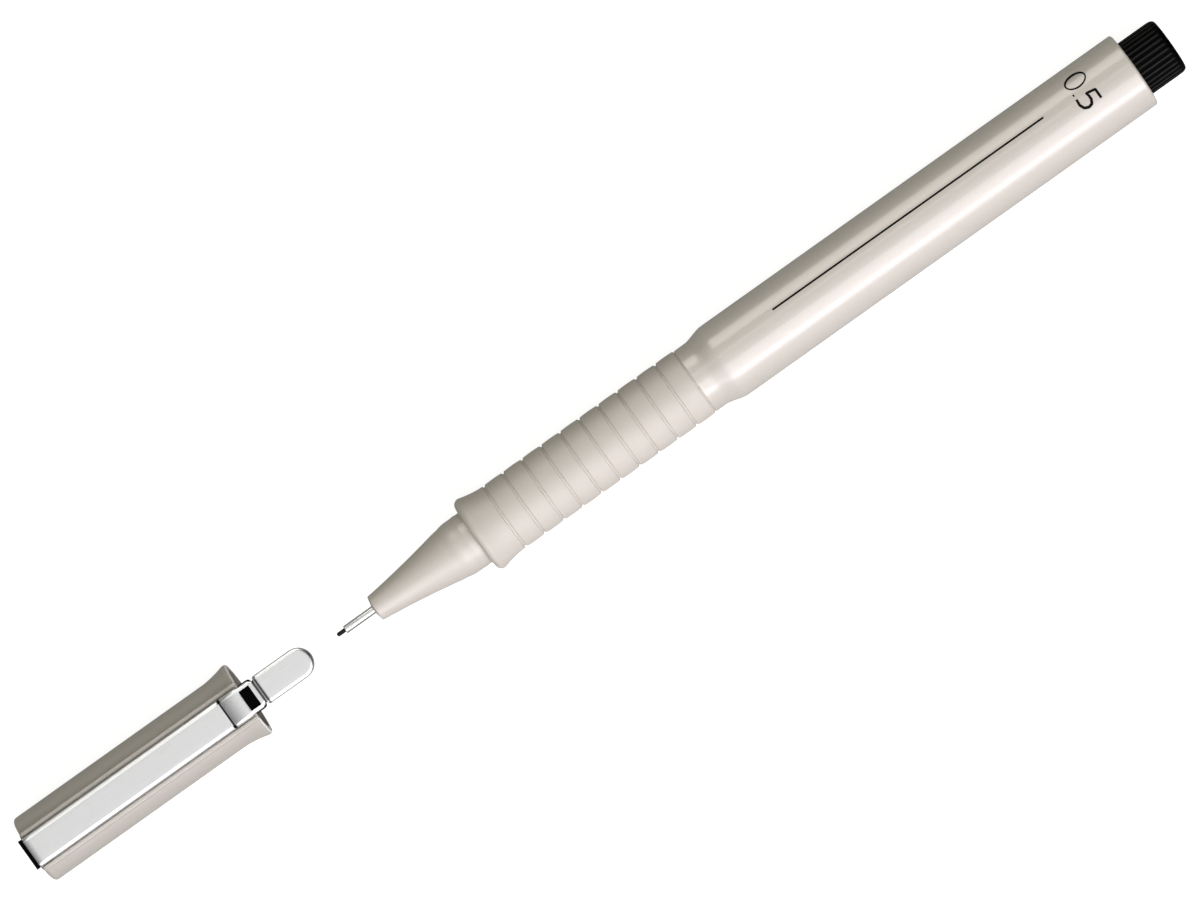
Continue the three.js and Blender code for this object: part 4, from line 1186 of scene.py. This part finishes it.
for a, b in zip(spokes, spokes[1:]):
    bm.faces.new([a[0], a[1], b[1]])
    for row in range(1, leg_row - 1):
        bm.faces.new([a[row], a[row + 1], b[row + 1], b[row]])
bmesh.ops.delete(bm, geom=[v for v in bm.verts if not v.link_faces], context="VERTS")
clip = finished("pressed_clip", bm, clip_steel)
if sum(face.normal.z * face.area for face in clip.data.polygons) < 0:
    clip.data.flip_normals()

above = strip_top + 2 * bridge_rise
bm = bmesh.new()
window_x = (window_start, window_start + WINDOW_LENGTH)
block(bm, window_x, (-WINDOW_WIDTH / 2, WINDOW_WIDTH / 2), (strip_top - SHEET, above))
notch_x = (step_at - NOTCH_LENGTH / 2, step_at + NOTCH_LENGTH / 2)
for side in (-clip_half, clip_half):
    block(bm, notch_x, (side - NOTCH_WIDTH, side + NOTCH_WIDTH), (strip_top - NOTCH_DROP, above))
window_cutter = finished("window_cutter", bm, clip_steel)
modify(clip, "sheet", "SOLIDIFY", thickness=SHEET * MM, offset=-1.0, use_even_offset=True)
modify(clip, "window", "BOOLEAN", operation="DIFFERENCE", solver="EXACT", object=window_cutter)
modify(
    clip, "deburred", "BEVEL", width=SHEET_EDGE * MM, segments=2,
    limit_method="ANGLE", angle_limit=math.radians(SHEET_EDGE_ANGLE),
)
apply_all(clip, CLIP_SHARP)
bpy.data.objects.remove(window_cutter)
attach(clip, "clip")
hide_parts("clip")


# Table, lamps and camera
# White table top under area lamps: soft ones low and high on the near side, a wide one above, and a
# strip and a reflector on the far side. Some of them only light the pen, and some only show in it. The
# camera looks down on the pen, which runs up to the right in its frame.
FLOOR_PALE = "#a6a6a3"
FLOOR_GLOW = 0.88
FLOOR_GLOW_IN_MIRRORS = 0.1
FLOOR_DROP = 0.02
# Half the table top's side, in metres
FLOOR_HALF = 3.0
WHITE = "#ffffff"
AMBIENT = 0.34
AMBIENT_TINT = "#fffff0"
# Brightness of the studio in a mirror by the height of the direction, its level on the near side, and
# its shares towards the cap's end and towards the plug's, with the directions where they are reached
STUDIO_HEIGHTS = [(0.0, 0.08), (0.17, 0.12), (0.5, 0.4), (0.77, 0.6), (0.94, 0.84), (1.0, 0.96)]
NEAR_SIDE = 0.5
NEAR_LEVEL = 0.9
CAP_END = 0.6
CAP_END_FROM = 0.7
PLUG_END = 0.05
PLUG_END_FROM = (0.12, 0.45)
# Name, degrees from straight up towards -Y, then in metres the place along the pen, distance, length and
# width, then watts, colour, and whether it lights surfaces and shows in them
LAMPS = [
    ("near_softbox", 38.5, 0.06, 0.5, 0.42, 0.48, 1.45, "#f4f2ff", True, True),
    ("near_core", 51.0, 0.1, 0.5, 0.36, 0.12, 0.45, "#f4f2ff", True, True),
    ("near_low", 76.0, 0.0, 0.5, 0.5, 0.12, 0.4, "#f4f2ff", True, False),
    ("near_softbox_end", 38.5, -0.4, 0.5, 0.5, 0.48, 0.8, "#f4f2ff", False, True),
    ("near_core_end", 51.0, -0.33, 0.5, 0.5, 0.12, 0.3, "#f4f2ff", False, True),
    ("top_softbox", 17.0, 0.0, 0.6, 0.4, 0.4, 1.0, "#fffefa", True, False),
    ("far_strip", -19.0, -0.25, 0.5, 0.9, 0.06, 0.2475, WHITE, False, True),
    ("far_reflector", -60.75, 0.1, 0.45, 0.4, 0.229, 0.72, "#fffcfa", False, True),
]
AXIS_ANGLE = 35.4
VIEW_WIDTH = 150.2
VIEW_SHIFT = -0.12
CAMERA_PLACE = (22.0, 10.0, 972.0)
SENSOR = 36.0
# Near and far limits of what the camera shows, in metres
NEAREST = 0.01
FARTHEST = 10.0


def ray_kinds(tree):
    """Two sockets: 1 for rays from the camera, and 1 for rays from a mirror or glass."""
    path = add_node(tree, "ShaderNodeLightPath").outputs
    mirrored = add_node(tree, "ShaderNodeMath", {
        0: path["Is Glossy Ray"], 1: path["Is Transmission Ray"],
    }, operation="MAXIMUM")
    return path["Is Camera Ray"], mirrored


floor_material, tree, shader = new_material(
    "white_table", Base_Color=colour(FLOOR_PALE), Roughness=0.9, Specular_IOR_Level=0.0,
    Emission_Color=colour(WHITE),
)
from_camera, in_mirror = ray_kinds(tree)
seen_glow = add_node(tree, "ShaderNodeMath", {0: from_camera, 1: FLOOR_GLOW}, operation="MULTIPLY")
glow = add_node(tree, "ShaderNodeMath", {
    0: in_mirror, 1: FLOOR_GLOW_IN_MIRRORS, 2: seen_glow,
}, operation="MULTIPLY_ADD")
tree.links.new(glow.outputs[0], shader.inputs["Emission Strength"])
bm = bmesh.new()
bmesh.ops.create_grid(bm, x_segments=1, y_segments=1, size=FLOOR_HALF)
floor = finished("table_top", bm, floor_material)
floor.location.z = -FLOOR_DROP * MM

world = bpy.data.worlds.new("studio")
bpy.context.scene.world = world
world.use_nodes = True
studio = world.node_tree
studio.nodes.clear()
towards = add_node(studio, "ShaderNodeSeparateXYZ", {
    "Vector": add_node(studio, "ShaderNodeTexCoord").outputs["Generated"],
})
heights = add_node(studio, "ShaderNodeValToRGB", {"Fac": towards.outputs["Z"]})
stops = heights.color_ramp.elements
while len(stops) < len(STUDIO_HEIGHTS):
    stops.new(0.5)
for stop, (height, bright) in zip(stops, STUDIO_HEIGHTS):
    stop.position = height
    stop.color = (bright, bright, bright, 1.0)
near_level = add_node(studio, "ShaderNodeMapRange", {
    "Value": towards.outputs["Y"], "From Min": 0.0, "From Max": -NEAR_SIDE,
    "To Min": heights, "To Max": NEAR_LEVEL,
})
cap_end = add_node(studio, "ShaderNodeMapRange", {
    "Value": towards.outputs["X"], "From Min": -CAP_END_FROM, "From Max": 0.0, "To Min": CAP_END,
})
plug_end_share = add_node(studio, "ShaderNodeMapRange", {
    "Value": towards.outputs["X"], "From Min": PLUG_END_FROM[0], "From Max": PLUG_END_FROM[1],
    "To Min": 1.0, "To Max": PLUG_END,
})
both_ends = add_node(studio, "ShaderNodeMath", {0: cap_end, 1: plug_end_share}, operation="MULTIPLY")
mirrored_level = add_node(studio, "ShaderNodeMath", {0: near_level, 1: both_ends}, operation="MULTIPLY")
from_camera, in_mirror = ray_kinds(studio)
lit_level = add_node(studio, "ShaderNodeMapRange", {
    "Value": in_mirror, "To Min": AMBIENT, "To Max": mirrored_level,
})
level = add_node(studio, "ShaderNodeMapRange", {"Value": from_camera, "To Min": lit_level, "To Max": 1.0})
untinted = add_node(studio, "ShaderNodeMath", {0: from_camera, 1: in_mirror}, operation="MAXIMUM")
tint = add_node(studio, "ShaderNodeMix", {
    0: untinted, 6: colour(AMBIENT_TINT), 7: colour(WHITE),
}, data_type="RGBA")
sky = add_node(studio, "ShaderNodeBackground", {"Color": tint.outputs[2], "Strength": level})
add_node(studio, "ShaderNodeOutputWorld", {"Surface": sky})

for name, lean, along, distance, length, width, watts, tint, lights_up, mirrored in LAMPS:
    light = bpy.data.lights.new(name, "AREA")
    light.shape = "RECTANGLE"
    light.size = length
    light.size_y = width
    light.energy = watts
    light.color = colour(tint)[:3]
    lamp = bpy.data.objects.new(name, light)
    away = Vector((0.0, -math.sin(math.radians(lean)), math.cos(math.radians(lean))))
    lamp.location = axis + away * distance
    lamp.location.x = along
    lamp.rotation_euler = away.to_track_quat("Z", "Y").to_euler()
    lamp.visible_camera = False
    lamp.visible_diffuse = lights_up
    lamp.visible_glossy = mirrored
    bpy.context.collection.objects.link(lamp)

camera_data = bpy.data.cameras.new("camera")
camera = bpy.data.objects.new("camera", camera_data)
bpy.context.collection.objects.link(camera)
target = Vector((0.0, VIEW_SHIFT * MM, axis.z))
back = Vector(CAMERA_PLACE).normalized()
lean_angle = math.radians(AXIS_ANGLE)
up = Vector((math.sin(lean_angle), math.cos(lean_angle), 0.0))
right = up.cross(back).normalized()
up = back.cross(right)
camera.matrix_world = Matrix((right, up, back)).transposed().to_4x4()
camera.location = target + Vector(CAMERA_PLACE) * MM
camera_data.sensor_width = SENSOR
camera_data.lens = SENSOR * Vector(CAMERA_PLACE).length / VIEW_WIDTH
camera_data.clip_start = NEAREST
camera_data.clip_end = FARTHEST
bpy.context.scene.camera = camera
bpy.context.scene.view_settings.view_transform = "Standard"
